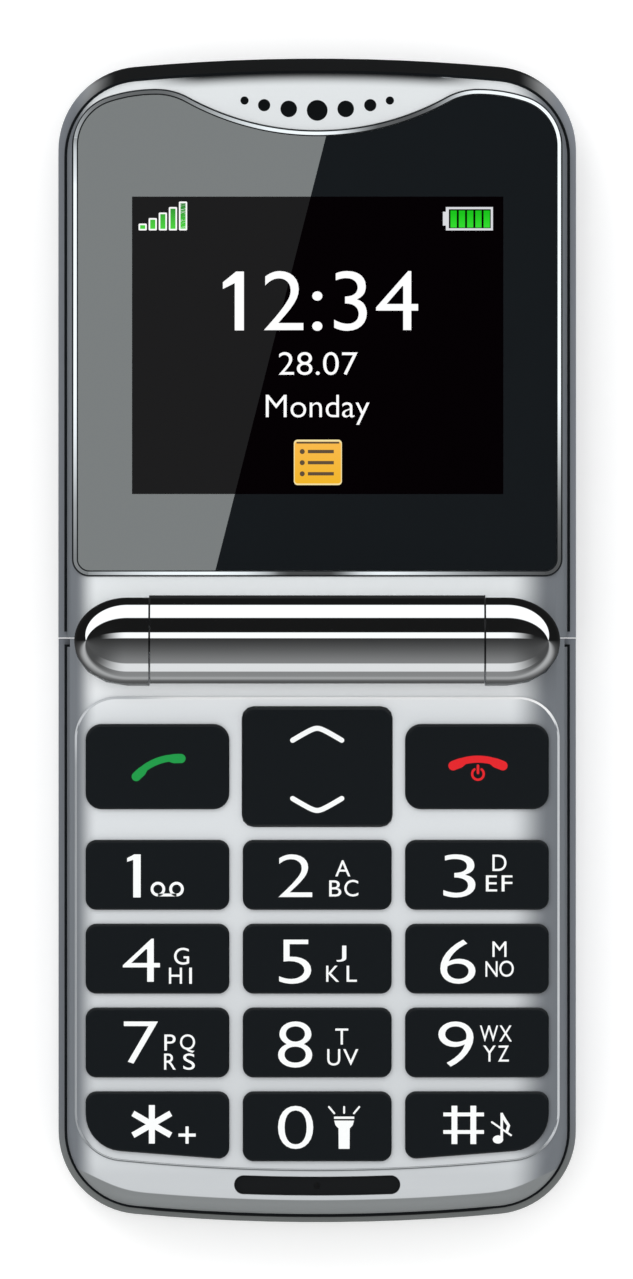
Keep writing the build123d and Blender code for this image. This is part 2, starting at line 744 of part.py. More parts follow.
weight -= block(weight_x, motor_x, speaker_y - weight_radius, speaker_y + weight_radius,
                motor_z + motor_shaft_radius / 2, motor_z + weight_radius)
parts["vibration_motor"] = motor + rod_x(motor_shaft_radius, weight_x, motor_x, speaker_y, motor_z) + weight
antenna_y = -half_length + inner_inset + board_margin + antenna_inset
parts["antenna"] = block(usb_width / 2 + board_margin, base_screw_x - boss_radius, antenna_y,
                         antenna_y + antenna_thickness, board_bottom_z - antenna_height, board_bottom_z)


# ---- Hinge --------------------------------------------------------------------------------------------------------

def centre_knuckle():
    """Chrome-plated tube fixed to the base, keyed by a tongue, with a slot for the flex cable."""
    half = knuckle_half_length - knuckle_gap / 2
    tube = rod_x(barrel_radius, -half, half) + (foot(-1, 0) - rod_x(barrel_bore_radius, -half, half))
    tube -= rod_x(barrel_bore_radius, -half, half)
    return tube - flex_slot(flex_x, flex_width_base, -1, board_top_z, True)


def end_knuckle(side):
    """Chrome-plated bullet fixed to the lid, hollow, keyed by a tongue."""
    form = bullet(0)
    if side < 0:
        form = mirror(form, Plane.YZ)
    form += cap_foot(side, 0)
    inner = side * knuckle_half_length
    deep = side * (barrel_half_length - bullet_length / 2)
    if side < 0:
        size = shaft_head + 2 * fit_gap
        return form - block(deep, inner, -size / 2, size / 2, hinge_z - size / 2, hinge_z + size / 2)
    form -= rod_x(barrel_bore_radius, inner, deep)
    return form - flex_slot(flex_lid_x, flex_width_lid, 1, lid_board_top_z, True)


def flex_band(points, x0, x1):
    """A strip of flex cable that follows points in the plane across the hinge axis, between x0 and x1."""
    line = Polyline(*[(0, y, z) for y, z in points])
    normal_plane = Plane(origin=(0, points[0][0], points[0][1]), z_dir=(0, points[1][0] - points[0][0],
                                                                        points[1][1] - points[0][1]),
                         x_dir=(1, 0, 0))
    section = normal_plane * Rectangle(x1 - x0, flex_thickness)
    return Pos((x0 + x1) / 2, 0, 0) * sweep(section, line, transition=Transition.RIGHT)


def roll(x0, x1):
    """The coiled stretch of the flex cable inside the barrel."""
    return rod_x(roll_outer_radius, x0, x1) - rod_x(roll_inner_radius, x0, x1)


parts["hinge_barrel_center"] = centre_knuckle()
parts["hinge_cap_left"] = end_knuckle(-1)
parts["hinge_cap_right"] = end_knuckle(1)
module_end_x = -knuckle_half_length + knuckle_gap
parts["hinge_cam_module"] = (rod_x(barrel_bore_radius - fit_gap, module_end_x, module_end_x + module_length)
                             - rod_x(shaft_radius + running_gap, module_end_x, module_end_x + module_length / 2))
shaft_end_x = -(barrel_half_length - bullet_length / 2) + fit_gap
parts["hinge_shaft"] = rod_x(shaft_radius, shaft_end_x, module_end_x + module_length / 2 - fit_gap)
parts["hinge_shaft"] += block(shaft_end_x, -knuckle_half_length - fit_gap, -shaft_head / 2, shaft_head / 2,
                              hinge_z - shaft_head / 2, hinge_z + shaft_head / 2)
parts["hinge_bushing"] = (rod_x(barrel_bore_radius - running_gap, bushing_start_x, bushing_end_x)
                          - rod_x(bushing_bore_radius, bushing_start_x, bushing_end_x))
roll_split_x = (bushing_start_x + bushing_end_x) / 2
roll_radius = (roll_inner_radius + roll_outer_radius) / 2
base_flex_points = [(-channel_radius - channel_wall - board_margin - flex_lap, board_top_z + flex_lift),
                    (-flex_bend_y, board_top_z + flex_lift),
                    (-roll_radius, hinge_z - roll_radius / 3)]
parts["flex_cable_base"] = roll(flex_x, roll_split_x - fit_gap) + flex_band(base_flex_points, flex_x,
                                                                           flex_x + flex_width_base)
lid_flex_points = [(lid_board_low_y + flex_lap, lid_board_top_z + flex_lift),
                   (flex_bend_y, lid_board_top_z + flex_lift),
                   (roll_radius, hinge_z - roll_radius / 3)]
parts["flex_cable_lid"] = roll(roll_split_x + fit_gap, flex_lid_x + flex_width_lid)
parts["flex_cable_lid"] += flex_band(lid_flex_points, flex_lid_x, flex_lid_x + flex_width_lid)


# ---- Lid ----------------------------------------------------------------------------------------------------------

def lens_outline(grow):
    """Outline of the lens, larger all round by grow: a wave of tangent arcs on top, straight sides and foot."""
    side_x = lens_half_width + grow
    dip = wave_dip_radius - grow
    hump = wave_hump_radius + grow
    shoulder = wave_shoulder_radius + grow
    corner = wave_corner_radius + grow
    shoulder_sin = sin(radians(wave_shoulder_turn))
    reach = side_x - shoulder * shoulder_sin - corner * (1 - shoulder_sin)
    turn = degrees(asin(reach / (dip + hump)))
    top_y = lens_dip_y + grow
    first = JernArc((0, top_y), (1, 0), dip, turn)
    second = JernArc(first @ 1, first % 1, hump, -turn)
    third = JernArc(second @ 1, second % 1, shoulder, -wave_shoulder_turn)
    fourth = JernArc(third @ 1, third % 1, corner, wave_shoulder_turn - 90)
    foot_y = lens_bottom_y - grow
    side = Line(fourth @ 1, (side_x, foot_y))
    base = Line((side_x, foot_y), (0, foot_y))
    half = first + second + third + fourth + side + base
    face = make_face(half + mirror(half, Plane.YZ))
    return fillet(face.vertices().group_by(Axis.Y)[0].filter_by(lambda v: abs(v.X) > side_x / 2),
                  lens_bottom_corner + grow)


def earpiece_holes(bottom, top):
    """A row of holes that shrink outwards and follow the wave of the lens."""
    holes = []
    x = 0.0
    for radius, pitch in zip(earpiece_hole_radii, earpiece_hole_pitches):
        x += pitch
        y = lens_dip_y + earpiece_hole_rise + arc_rise(x, wave_dip_radius)
        holes += [post(radius, side * x, y, bottom, top) for side in ((1, -1) if x else (1,))]
    return holes


def lid_bosses(radius, bottom, top):
    """The four screw posts of the lid, or the holes for them."""
    places = [(x, y) for x in (-lid_screw_x, lid_screw_x) for y in (lid_screw_low_y, lid_screw_high_y)]
    return [post(radius, x, y, bottom, top) for x, y in places]


def window(margin, bottom, top):
    """The opening for the display, larger all round by margin."""
    half_x = display_width / 2 + margin
    half_y = display_height / 2 + margin
    return block(-half_x, half_x, display_centre_y - half_y, display_centre_y + half_y, bottom, top)


def lid_front_cover():
    """Moulded shell with the lens's recess, the display window, the barrel's trough and the earpiece holes."""
    form = front_form(lid_edge, lid_front_bottom_z, lid_end_step)
    cavity_outline = half_outline(inner_inset, lid_edge + side_wall, lid_end_step)
    cavity = slab(cavity_outline, lid_front_bottom_z, shelf_bottom_z)
    trough_wall = rod_x(channel_radius + channel_wall, -body_width / 2, body_width / 2)
    shell = form - (cavity - trough_wall)
    shell -= slab(lens_outline(trim_width + fit_gap), shelf_top_z, front_z)
    shell -= window(display_window_margin, shelf_bottom_z, shelf_top_z)
    shell -= rod_x(channel_radius, -knuckle_half_length, knuckle_half_length)
    shell -= bullet_row(fit_gap)
    shell -= [cap_foot(side, fit_gap) for side in (-1, 1)]
    shell += lid_bosses(lid_boss_radius, lid_front_bottom_z, shelf_bottom_z)
    shell -= lid_bosses(screw_head_radius + fit_gap, shelf_top_z - screw_head_height, shelf_top_z)
    shell -= lid_bosses(screw_radius + 2 * fit_gap, lid_front_bottom_z, shelf_top_z)
    shell -= earpiece_holes(shelf_bottom_z, front_z)
    shell -= flex_slot(flex_lid_x, flex_width_lid, 1, lid_board_top_z, False)
    shell -= torch_hole(fit_gap)
    return shell


torch_z = lid_front_bottom_z + torch_radius + 0.15


def torch_hole(grow):
    """A round hole through the top end of the lid for the torch."""
    y0 = half_length - lid_end_step - inner_inset - torch_depth
    length = half_length - y0
    return Pos(torch_x, y0 + length / 2, torch_z) * Rot(90, 0, 0) * Cylinder(torch_radius + grow, length)


def lid_rear_cover():
    """Moulded back shell of the lid, with four screw posts and the barrel's trough."""
    form = rear_form(lid_edge, lid_back_z, lid_split_z, lid_back_round)
    cavity_outline = half_outline(side_wall + gasket_inset, lid_edge + side_wall, lid_end_step)
    cavity = slab(cavity_outline, lid_back_z + back_plate, lid_split_z)
    shell = form - cavity
    shell += lid_bosses(lid_boss_radius, lid_back_z + back_plate, lid_front_bottom_z - fit_gap)
    return shell - lid_bosses(screw_radius + running_gap / 2, lid_back_z + back_plate, lid_front_bottom_z)


parts["lid_front_cover"] = lid_front_cover()
parts["lid_rear_cover"] = lid_rear_cover()
parts["lid_seam_gasket"] = seam_gasket(lid_edge, lid_split_z, lid_end_step)
parts["lens_trim"] = slab(lens_outline(trim_width) - lens_outline(fit_gap), shelf_top_z + fit_gap,
                          front_z + trim_proud)
parts["display_lens"] = slab(lens_outline(0), shelf_top_z + fit_gap, front_z + lens_proud)
parts["lcd_module"] = block(-lcd_x, lcd_x, lcd_low_y, lcd_high_y, lcd_bottom_z, lcd_top_z)
parts["lid_board"] = block(-lcd_x, lcd_x, lid_board_low_y, lcd_high_y, lid_board_bottom_z, lid_board_top_z)
receiver_y = lens_dip_y + earpiece_hole_rise
mesh_bottom_z = shelf_bottom_z - fit_gap - mesh_thickness
parts["earpiece_mesh"] = block(-mesh_width / 2, mesh_width / 2, receiver_y - receiver_depth / 2,
                               receiver_y + receiver_depth / 2, mesh_bottom_z, mesh_bottom_z + mesh_thickness)
parts["earpiece"] = block(-receiver_width / 2, receiver_width / 2, receiver_y - receiver_depth / 2,
                          receiver_y + receiver_depth / 2, mesh_bottom_z - fit_gap - receiver_height,
                          mesh_bottom_z - fit_gap)
parts["magnet"] = block(-torch_x - magnet_width / 2, -torch_x + magnet_width / 2, receiver_y - magnet_depth / 2,
                        receiver_y + magnet_depth / 2, lid_back_z + back_plate, lid_back_z + back_plate + magnet_height)
parts["torch_lens"] = torch_hole(0) & front_form(lid_edge, lid_front_bottom_z, lid_end_step)
lid_screw_seat_z = shelf_top_z - screw_head_height
parts["lid_screws"] = [screw(x, y, lid_screw_seat_z, lid_screw_seat_z - lid_screw_length)
                       for x in (-lid_screw_x, lid_screw_x) for y in (lid_screw_low_y, lid_screw_high_y)]

# ---- Output -------------------------------------------------------------------------------------------------------

os.makedirs("parts", exist_ok=True)
for name, shape in parts.items():
    solid = Compound(children=shape) if isinstance(shape, list) else shape
    export_step(solid, f"parts/{name}.step")
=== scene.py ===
import json
from math import asin, cos, pi, radians, sin

import bmesh
import bpy
import numpy as np
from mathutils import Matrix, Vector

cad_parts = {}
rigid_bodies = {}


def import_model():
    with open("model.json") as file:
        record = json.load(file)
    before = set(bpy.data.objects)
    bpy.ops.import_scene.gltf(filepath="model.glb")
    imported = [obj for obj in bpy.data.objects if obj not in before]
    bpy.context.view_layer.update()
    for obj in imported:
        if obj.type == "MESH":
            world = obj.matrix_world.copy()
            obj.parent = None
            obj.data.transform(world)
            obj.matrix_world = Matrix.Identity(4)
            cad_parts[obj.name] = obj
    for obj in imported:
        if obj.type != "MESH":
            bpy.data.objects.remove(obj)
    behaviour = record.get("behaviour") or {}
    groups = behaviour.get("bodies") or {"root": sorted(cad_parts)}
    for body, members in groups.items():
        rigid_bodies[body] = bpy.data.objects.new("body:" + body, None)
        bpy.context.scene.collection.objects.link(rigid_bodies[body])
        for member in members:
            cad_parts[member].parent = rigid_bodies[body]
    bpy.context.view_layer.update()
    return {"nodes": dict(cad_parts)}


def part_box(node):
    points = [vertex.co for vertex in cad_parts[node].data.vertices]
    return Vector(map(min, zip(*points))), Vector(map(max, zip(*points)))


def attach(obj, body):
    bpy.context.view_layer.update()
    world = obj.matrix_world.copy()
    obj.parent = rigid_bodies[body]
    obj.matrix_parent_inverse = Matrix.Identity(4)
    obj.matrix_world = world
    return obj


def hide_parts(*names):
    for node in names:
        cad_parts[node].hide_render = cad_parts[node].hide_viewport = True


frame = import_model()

MM = 0.001

# ---- Camera ----------------------------------------------------------------
# A long lens straight above the opened phone, with the lid towards the top of the frame. What it looks at is
# measured at the middle of the phone's thickness.
eye_height = 3011 * MM              # above the floor
frame_height = 137.05 * MM          # what the long side of the frame covers at mid_level
mid_level = 8 * MM
eye_x = -0.075 * MM
eye_y = 0.113 * MM
sensor_width = 36.0
clip_end = 20.0

camera_data = bpy.data.cameras.new("camera")
camera_data.sensor_fit = "AUTO"
camera_data.sensor_width = sensor_width
camera_data.lens = sensor_width * (eye_height - mid_level) / frame_height
camera_data.clip_end = clip_end
camera = bpy.data.objects.new("camera", camera_data)
camera.location = (eye_x, eye_y, eye_height)
bpy.context.scene.collection.objects.link(camera)
bpy.context.scene.camera = camera
bpy.context.scene.view_settings.view_transform = "Standard"

# ---- Light -----------------------------------------------------------------
# A white room for matt surfaces, with one soft window lamp. Polished surfaces see a striped studio instead: white
# strips and dark gaps that run along X, given by the angle of the reflected ray from straight up, positive towards
# the lid. Cards overhead give the lens and its trim their bright parts.
white = (1.0, 1.0, 1.0, 1.0)
room_level = 0.98
side_start = 0.01                    # the share of a ray's length along X where the end stripes set in
side_full = 0.8                      # and where they are all that is seen
studio_stripes = [                   # angle in degrees, tone: blends run from each place to the next
    (-180, 0.04), (-160, 0.09), (-142, 0.10), (-135, 0.155), (-130, 0.27), (-124, 0.37), (-119, 0.38), (-113, 0.27),
    (-107, 0.25), (-93, 0.25), (-91.4, 0.77), (-65.4, 0.78), (-63.8, 0.23), (-54, 0.21), (-26, 0.112), (-12, 0.072),
    (-2, 0.049), (5.8, 0.034), (6.6, 1.05), (21.7, 1.05), (22.4, 0.009), (63.2, 0.009), (63.9, 1.1), (111.4, 1.1),
    (112.2, 0.009), (150, 0.009), (180, 0.03),
]
end_stripes = [                      # the same for directions that run towards either side
    (-180, 0.012), (-162, 0.08), (-148, 0.28), (-135, 0.42), (-122, 0.42), (-112, 0.2), (-104, 0.07), (-80, 0.07),
    (-55, 0.08), (-30, 0.07), (7, 0.032), (21, 0.012), (63.2, 0.009), (63.9, 1.1), (111.4, 1.1), (112.2, 0.009),
    (180, 0.009),
]


def wire(tree, kind, feeds=(), **settings):
    """Adds a shader node with its settings. feeds names or numbers its inputs, and gives each a value or the output
    that is joined to it."""
    node = tree.nodes.new("ShaderNode" + kind)
    for key, value in settings.items():
        setattr(node, key, value)
    for socket, feed in dict(feeds).items():
        if isinstance(feed, bpy.types.NodeSocket):
            tree.links.new(feed, node.inputs[socket])
        else:
            node.inputs[socket].default_value = feed
    return node


world = bpy.data.worlds.new("studio")
bpy.context.scene.world = world
world.use_nodes = True
room = world.node_tree
room.nodes.clear()
ray = wire(room, "SeparateXYZ", {0: wire(room, "TexCoord").outputs["Generated"]}).outputs
angle = wire(room, "Math", {0: ray["Y"], 1: ray["Z"]}, operation="ARCTAN2").outputs[0]
turn = wire(room, "MapRange", {"Value": angle, "From Min": -pi, "From Max": pi}).outputs[0]
sideways = wire(room, "Math", {0: ray["X"]}, operation="ABSOLUTE").outputs[0]
to_side = wire(room, "MapRange", {"Value": sideways, "From Min": side_start, "From Max": side_full},
               interpolation_type="SMOOTHSTEP").outputs[0]
blend_sets = wire(room, "Mix", {0: to_side}, data_type="RGBA")
for socket, tones in ((6, studio_stripes), (7, end_stripes)):
    stripes = wire(room, "ValToRGB", {"Fac": turn})
    ramp = stripes.color_ramp
    while len(ramp.elements) > 1:
        ramp.elements.remove(ramp.elements[-1])
    for number, (start, tone) in enumerate(tones):
        place = (start + 180) / 360
        element = ramp.elements[0] if number == 0 else ramp.elements.new(place)
        element.position = place
        element.color = (tone * 0.98, tone, tone * 1.01, 1.0)
    room.links.new(stripes.outputs["Color"], blend_sets.inputs[socket])
seen_by = wire(room, "LightPath").outputs
matt_light = wire(room, "Background", {"Color": white, "Strength": room_level})
gloss_light = wire(room, "Background", {"Color": blend_sets.outputs[2]})
plain_white = wire(room, "Background", {"Color": white})
pick_gloss = wire(room, "MixShader", {0: seen_by["Is Glossy Ray"], 1: matt_light.outputs[0],
                                      2: gloss_light.outputs[0]})
pick_camera = wire(room, "MixShader", {0: seen_by["Is Camera Ray"], 1: pick_gloss.outputs[0],
                                       2: plain_white.outputs[0]})
wire(room, "OutputWorld", {"Surface": pick_camera.outputs[0]})

lamp_data = bpy.data.lights.new("window", "AREA")
lamp_data.shape = "DISK"
lamp_data.size = 0.5
lamp_data.energy = 1.3
lamp = bpy.data.objects.new("window", lamp_data)
lamp.location = (-0.35, 0.55, 0.75)
lamp.rotation_euler = (radians(-36), radians(-25), 0)
lamp.visible_glossy = False
bpy.context.scene.collection.objects.link(lamp)


def lay_out(name, corners, faces, material):
    """A mesh object in the scene, of these corners and faces in one material."""
    mesh = bpy.data.meshes.new(name)
    mesh.from_pydata(corners, [], faces)
    mesh.materials.append(material)
    made = bpy.data.objects.new(name, mesh)
    bpy.context.scene.collection.objects.link(made)
    return made


def bare_material(name):
    """A material without nodes yet."""
    material = bpy.data.materials.new(name)
    material.use_nodes = True
    material.node_tree.nodes.clear()
    return material


def bar(x0, x1, y0, y1):
    """A plain rectangle."""
    return np.array([(x0, y0), (x1, y0), (x1, y1), (x0, y1)])


card_reach = 130                     # the furthest from the middle that a card goes, in millimetres


def reflector(name, corners, height, takers, tones, axis="X", tint=(0.91, 0.97, 1.0, 1.0)):
    """A flat glowing card that only the pieces in takers see: its corners in millimetres, at one height in metres.

    tones are (place in millimetres, strength) pairs: the strength runs along the axis between them.
    """
    glow = bare_material(name)
    tree = glow.node_tree
    place = wire(tree, "SeparateXYZ", {0: wire(tree, "TexCoord").outputs["Object"]}).outputs[axis]
    share = wire(tree, "MapRange", {"Value": place, "From Min": -card_reach * MM, "From Max": card_reach * MM})
    run = wire(tree, "FloatCurve", {"Value": share.outputs[0]})
    strongest = max(strength for _, strength in tones)
    marks = run.mapping.curves[0].points
    wanted = [(-card_reach, tones[0][1])] + tones + [(card_reach, tones[-1][1])]
    for number, (spot_at, strength) in enumerate(wanted):
        spot = ((spot_at + card_reach) / (2 * card_reach), strength / strongest)
        mark = marks[number] if number < 2 else marks.new(*spot)
        mark.location = spot
        mark.handle_type = "VECTOR"
    run.mapping.update()
    full = wire(tree, "Math", {0: run.outputs[0], 1: strongest}, operation="MULTIPLY")
    shine = wire(tree, "Emission", {"Color": tint, "Strength": full.outputs[0]})
    both = wire(tree, "AddShader", {0: shine.outputs[0], 1: wire(tree, "BsdfTransparent").outputs[0]})
    wire(tree, "OutputMaterial", {"Surface": both.outputs[0]})
    face_down = [tuple(range(len(corners)))[::-1]]
    card = lay_out(name, [(x * MM, y * MM, height) for x, y in corners], face_down, glow)
    card.visible_camera = card.visible_diffuse = card.visible_shadow = card.visible_transmission = False
    card.light_linking.receiver_collection = takers


lens_takers = bpy.data.collections.new("lens_takers")
lens_glare = [(-56, 14.8), (-21.75, 14.8), (4.35, 117.2), (-56, 117.2)]
reflector("lens_card", lens_glare, eye_height, lens_takers, [(-56, 5.0), (56, 5.0)], tint=(0.94, 1.0, 1.0, 1.0))

# ---- Floor -----------------------------------------------------------------
# A sheet of white paper that takes the phone's soft shadow. The camera sees it a little lifted, as plain white.
floor_half = 3.0
floor_level = -0.02 * MM             # just under the phone's back
paper_lift = 0.24
paper = bare_material("white_paper")
sheet = paper.node_tree
camera_ray = wire(sheet, "LightPath").outputs["Is Camera Ray"]
lift = wire(sheet, "Math", {0: camera_ray, 1: paper_lift}, operation="MULTIPLY")
paper_glow = wire(sheet, "Emission", {"Strength": lift.outputs[0]})
paper_matt = wire(sheet, "BsdfDiffuse", {"Color": (0.93, 0.93, 0.93, 1.0)})
paper_sum = wire(sheet, "AddShader", {0: paper_matt.outputs[0], 1: paper_glow.outputs[0]})
wire(sheet, "OutputMaterial", {"Surface": paper_sum.outputs[0]})
floor_edge = bar(-floor_half, floor_half, -floor_half, floor_half)
floor = lay_out("floor", np.column_stack([floor_edge, np.full(4, floor_level)]), [(0, 1, 2, 3)], paper)
floor.visible_glossy = False


# ---- Rear casings and battery door -----------------------------------------
# The two back shells are moulded in grey and painted a satin grey. Only a thin strip of them shows round the front
# casings. A painted dark reflection makes the end of the lid black, with a painted highlight where it fades to grey
# round its corners. A painted highlight lightens the strip along the right side, and painted seam shade darkens the
# rim beside the seam at the foot.
def srgb(code):
    """The linear colour of a six-digit colour code."""
    values = [int(code[i:i + 2], 16) / 255 for i in (0, 2, 4)]
    return tuple(v / 12.92 if v <= 0.04045 else ((v + 0.055) / 1.055) ** 2.4 for v in values) + (1.0,)


def finish(name, colour, roughness, metallic=0.0, specular=0.5, grain=900.0, spread=0.05):
    """A finish whose tone and gloss wander by spread with fine noise in Object coordinates."""
    material = bpy.data.materials.new(name)
    material.use_nodes = True
    tree = material.node_tree
    shader = tree.nodes["Principled BSDF"]
    shader.inputs["Metallic"].default_value = metallic
    shader.inputs["Specular IOR Level"].default_value = specular
    place = wire(tree, "TexCoord").outputs["Object"]
    noise = wire(tree, "TexNoise", {"Vector": place, "Scale": grain, "Detail": 3.0}).outputs["Fac"]
    low, high = (tuple(min(1.0, c * share) for c in colour[:3]) + (1.0,) for share in (1 - spread, 1 + spread))
    tone = wire(tree, "Mix", {0: noise, 6: low, 7: high}, data_type="RGBA")
    gloss = wire(tree, "MapRange", {"Value": noise, "To Min": roughness * (1 - spread),
                                    "To Max": roughness * (1 + spread)})
    tree.links.new(tone.outputs[2], shader.inputs["Base Color"])
    tree.links.new(gloss.outputs[0], shader.inputs["Roughness"])
    return material


def layer(paint, code, factor):
    """Paints another colour over a finish where factor, an output socket, is 1."""
    tree = paint.node_tree
    base = tree.nodes["Principled BSDF"].inputs["Base Color"]
    mix = wire(tree, "Mix", {0: factor, 6: base.links[0].from_socket, 7: srgb(code)}, data_type="RGBA")
    tree.links.new(mix.outputs[2], base)


def fade(paint, axis, start, end, kind="Object", unit=MM, soft=True):
    """0 to 1 as one coordinate goes from start to end: millimetres of Object coordinates unless said otherwise."""
    tree = paint.node_tree
    place = wire(tree, "SeparateXYZ", {0: wire(tree, "TexCoord").outputs[kind]}).outputs[axis]
    return wire(tree, "MapRange", {"Value": place, "From Min": start * unit, "From Max": end * unit},
                interpolation_type="SMOOTHSTEP" if soft else "LINEAR").outputs[0]


def reach_fade(paint, centre, axes, start, end):
    """0 to 1 as the distance from a line goes from start to end, in metres. The line runs through centre, square to
    the two axes named in axes, such as "XY"."""
    tree = paint.node_tree
    place = wire(tree, "TexCoord").outputs["Object"]
    kept = tuple(float(axis in axes) for axis in "XYZ")
    flat = wire(tree, "VectorMath", {0: place, 1: kept}, operation="MULTIPLY").outputs[0]
    foot = tuple(c * k for c, k in zip(centre, kept))
    away = wire(tree, "VectorMath", {0: flat, 1: foot}, operation="DISTANCE").outputs["Value"]
    return wire(tree, "MapRange", {"Value": away, "From Min": start, "From Max": end},
                interpolation_type="SMOOTHSTEP").outputs[0]


def join(operation, *factors):
    """Several factors made one: "MULTIPLY" is 1 only where all of them are, "MAXIMUM" where any of them is."""
    joined = factors[0]
    for factor in factors[1:]:
        joined = wire(factor.id_data, "Math", {0: joined, 1: factor}, operation=operation).outputs[0]
    return joined


def middle_zone(paint, outer, inner):
    """1 where |x| is under inner, 0 where it is over outer; millimetres."""
    return join("MULTIPLY", fade(paint, "X", -outer, -inner), fade(paint, "X", outer, inner))


weld_reach = 0.001 * MM
smooth_angle = radians(40)
end_bulge = 215 * MM                 # radius of the outer ends, seen from the front
end_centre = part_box("lid_rear_cover")[1].y - end_bulge


def end_rim(paint, start, end, way=1):
    """0 to 1 as the way in from a round outer end goes from start to end, in millimetres. way is 1 at the lid's end
    and -1 at the foot."""
    return reach_fade(paint, (0.0, way * end_centre, 0.0), "XY", end_bulge - start * MM, end_bulge - end * MM)


def dress(material, *names):
    """Gives CAD nodes their finish, and shades their bands as one rounding: flat faces stay flat."""
    for name in names:
        node = frame["nodes"][name]
        node.data.materials.clear()
        node.data.materials.append(material)
        node.data.polygons.foreach_set("use_smooth", np.ones(len(node.data.polygons), bool))
        weld = node.modifiers.new("weld", "WELD")
        weld.merge_threshold = weld_reach
        edges = node.modifiers.new("edges", "EDGE_SPLIT")
        edges.split_angle = smooth_angle
        edges.use_edge_sharp = False
        even = node.modifiers.new("even", "WEIGHTED_NORMAL")
        even.keep_sharp = False
        even.weight = 100


grey = "7d8289"
# painted highlight for the right side of the back shells
side_highlight_grey = "8b9098"
black = "0b0f11"

rear_grey = finish("grey_satin_paint", srgb(grey), 0.45, grain=2500.0, spread=0.03)
# Painted highlight: the strip is painted lighter on the right side.
layer(rear_grey, side_highlight_grey, fade(rear_grey, "X", 24, 27))
foot_half = fade(rear_grey, "Y", -48, -58)
layer(rear_grey, "7e8281", foot_half)
# Painted seam shade: a black line on the rear casing's rim beside the seam at the foot widens the seam's dark line.
painted_seam_shade = join("MULTIPLY", end_rim(rear_grey, 0.50, 0.56, way=-1), middle_zone(rear_grey, 19.2, 17.2))
layer(rear_grey, black, join("MULTIPLY", painted_seam_shade, foot_half, fade(rear_grey, "Z", 3.4, 3.5)))
dress(rear_grey, "base_rear_cover", "battery_door")

lid_grey = finish("grey_satin_paint_lid", srgb(grey), 0.45, grain=2500.0, spread=0.03)
# Painted highlight: the strip is painted lighter on the right side.
layer(lid_grey, side_highlight_grey, fade(lid_grey, "X", 24, 27))
# Painted reflection at the lid's end: a painted highlight round the corners, and black in the middle and along the
# rim.
end_reflection_zone = join("MULTIPLY", fade(lid_grey, "Y", 52.5, 57), fade(lid_grey, "Z", 4.6, 5.9))
layer(lid_grey, "b4b6b7", join("MULTIPLY", end_reflection_zone, middle_zone(lid_grey, 26.2, 23.4)))
dark_end_reflection = join("MAXIMUM", middle_zone(lid_grey, 26, 21.5), end_rim(lid_grey, 2.3, 0.4))
layer(lid_grey, "020508", join("MULTIPLY", end_reflection_zone, dark_end_reflection))
dress(lid_grey, "lid_rear_cover")

# ---- Seam gaskets ----------------------------------------------------------
# Soft dark rings, moulded in rubber and laid between the casings. They are drawn back a little, so that each seam
# reads as a fine black line.
rubber_and_shade_black = finish("seam_rubber_and_gap_shade", srgb("12171b"), 0.7, specular=0.2)
dress(rubber_and_shade_black, "base_seam_gasket", "lid_seam_gasket")

# ---- Front casings ---------------------------------------------------------
# Moulded shells in fine silver paint. Painted shade darkens the paint to grey over the rounded sides, wider on the
# right; a painted dark reflection runs the top end of the lid into black, and painted shade gives the foot of the
# base a grey shoulder. Painted shade also darkens the base towards its foot, and painted light lightens both shells
# next to the barrel, against its shadow. The trough round the barrel is painted black, as painted shade.
barrel_low, barrel_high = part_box("hinge_barrel_center")
hinge_z = (barrel_low.z + barrel_high.z) / 2
barrel_radius = (barrel_high.z - barrel_low.z) / 2
trough_reach = barrel_radius + 0.45 * MM
shoulder_slope = 0.48
shoulder_slant = 68.85 * MM
shoulder_width = 2.49 * MM
shoulder_round_off = 1.3 * MM
shoulder_blur = 0.04 * MM


def grey_sides(paint):
    """Painted shade: fades a paint to grey over both rounded sides, wider on the right."""
    layer(paint, "71767c", join("MAXIMUM", fade(paint, "X", -23.5, -25.9), fade(paint, "X", 20.4, 24.8)))


def grey_shoulder(paint):
    """Painted shade: the grey band along the foot, standing for a shoulder that faces away from the light. It lies
    beyond a circle drawn in by shoulder_width from the outer end, or beyond the line |y| + shoulder_slope |x| =
    shoulder_slant at each corner. The larger of the two distances counts, rounded off where they cross."""
    tree = paint.node_tree
    place = wire(tree, "TexCoord").outputs["Object"]
    flat = wire(tree, "VectorMath", {0: place, 1: (1.0, 1.0, 0.0)}, operation="MULTIPLY").outputs[0]
    size = wire(tree, "VectorMath", {0: flat}, operation="ABSOLUTE").outputs[0]
    reach = wire(tree, "VectorMath", {0: size, 1: (0.0, end_centre, 0.0)}, operation="DISTANCE").outputs["Value"]
    across = wire(tree, "VectorMath", {0: size, 1: (shoulder_slope, 1.0, 0.0)}, operation="DOT_PRODUCT")
    past_circle = wire(tree, "Math", {0: reach, 1: end_bulge - shoulder_width}, operation="SUBTRACT").outputs[0]
    past_line = wire(tree, "Math", {0: across.outputs["Value"], 1: shoulder_slant}, operation="SUBTRACT").outputs[0]
    joined = wire(tree, "Math", {0: past_circle, 1: past_line, 2: shoulder_round_off}, operation="SMOOTH_MAX")
    edge = wire(tree, "MapRange", {"Value": joined.outputs[0], "From Min": -shoulder_blur, "From Max": shoulder_blur})
    layer(paint, "828687", join("MULTIPLY", edge.outputs[0], fade(paint, "Y", -40, -42)))


def shade_trough(paint):
    """Painted shade: black paint in the trough round the barrel, near the hinge axis, on walls that don't face up."""
    near = reach_fade(paint, (0.0, 0.0, hinge_z), "YZ", trough_reach + 0.04 * MM, trough_reach)
    wall = fade(paint, "Z", 0.98, 0.93, kind="Normal", unit=1)
    layer(paint, black, join("MULTIPLY", middle_zone(paint, 24.3, 24.2), near, wall))


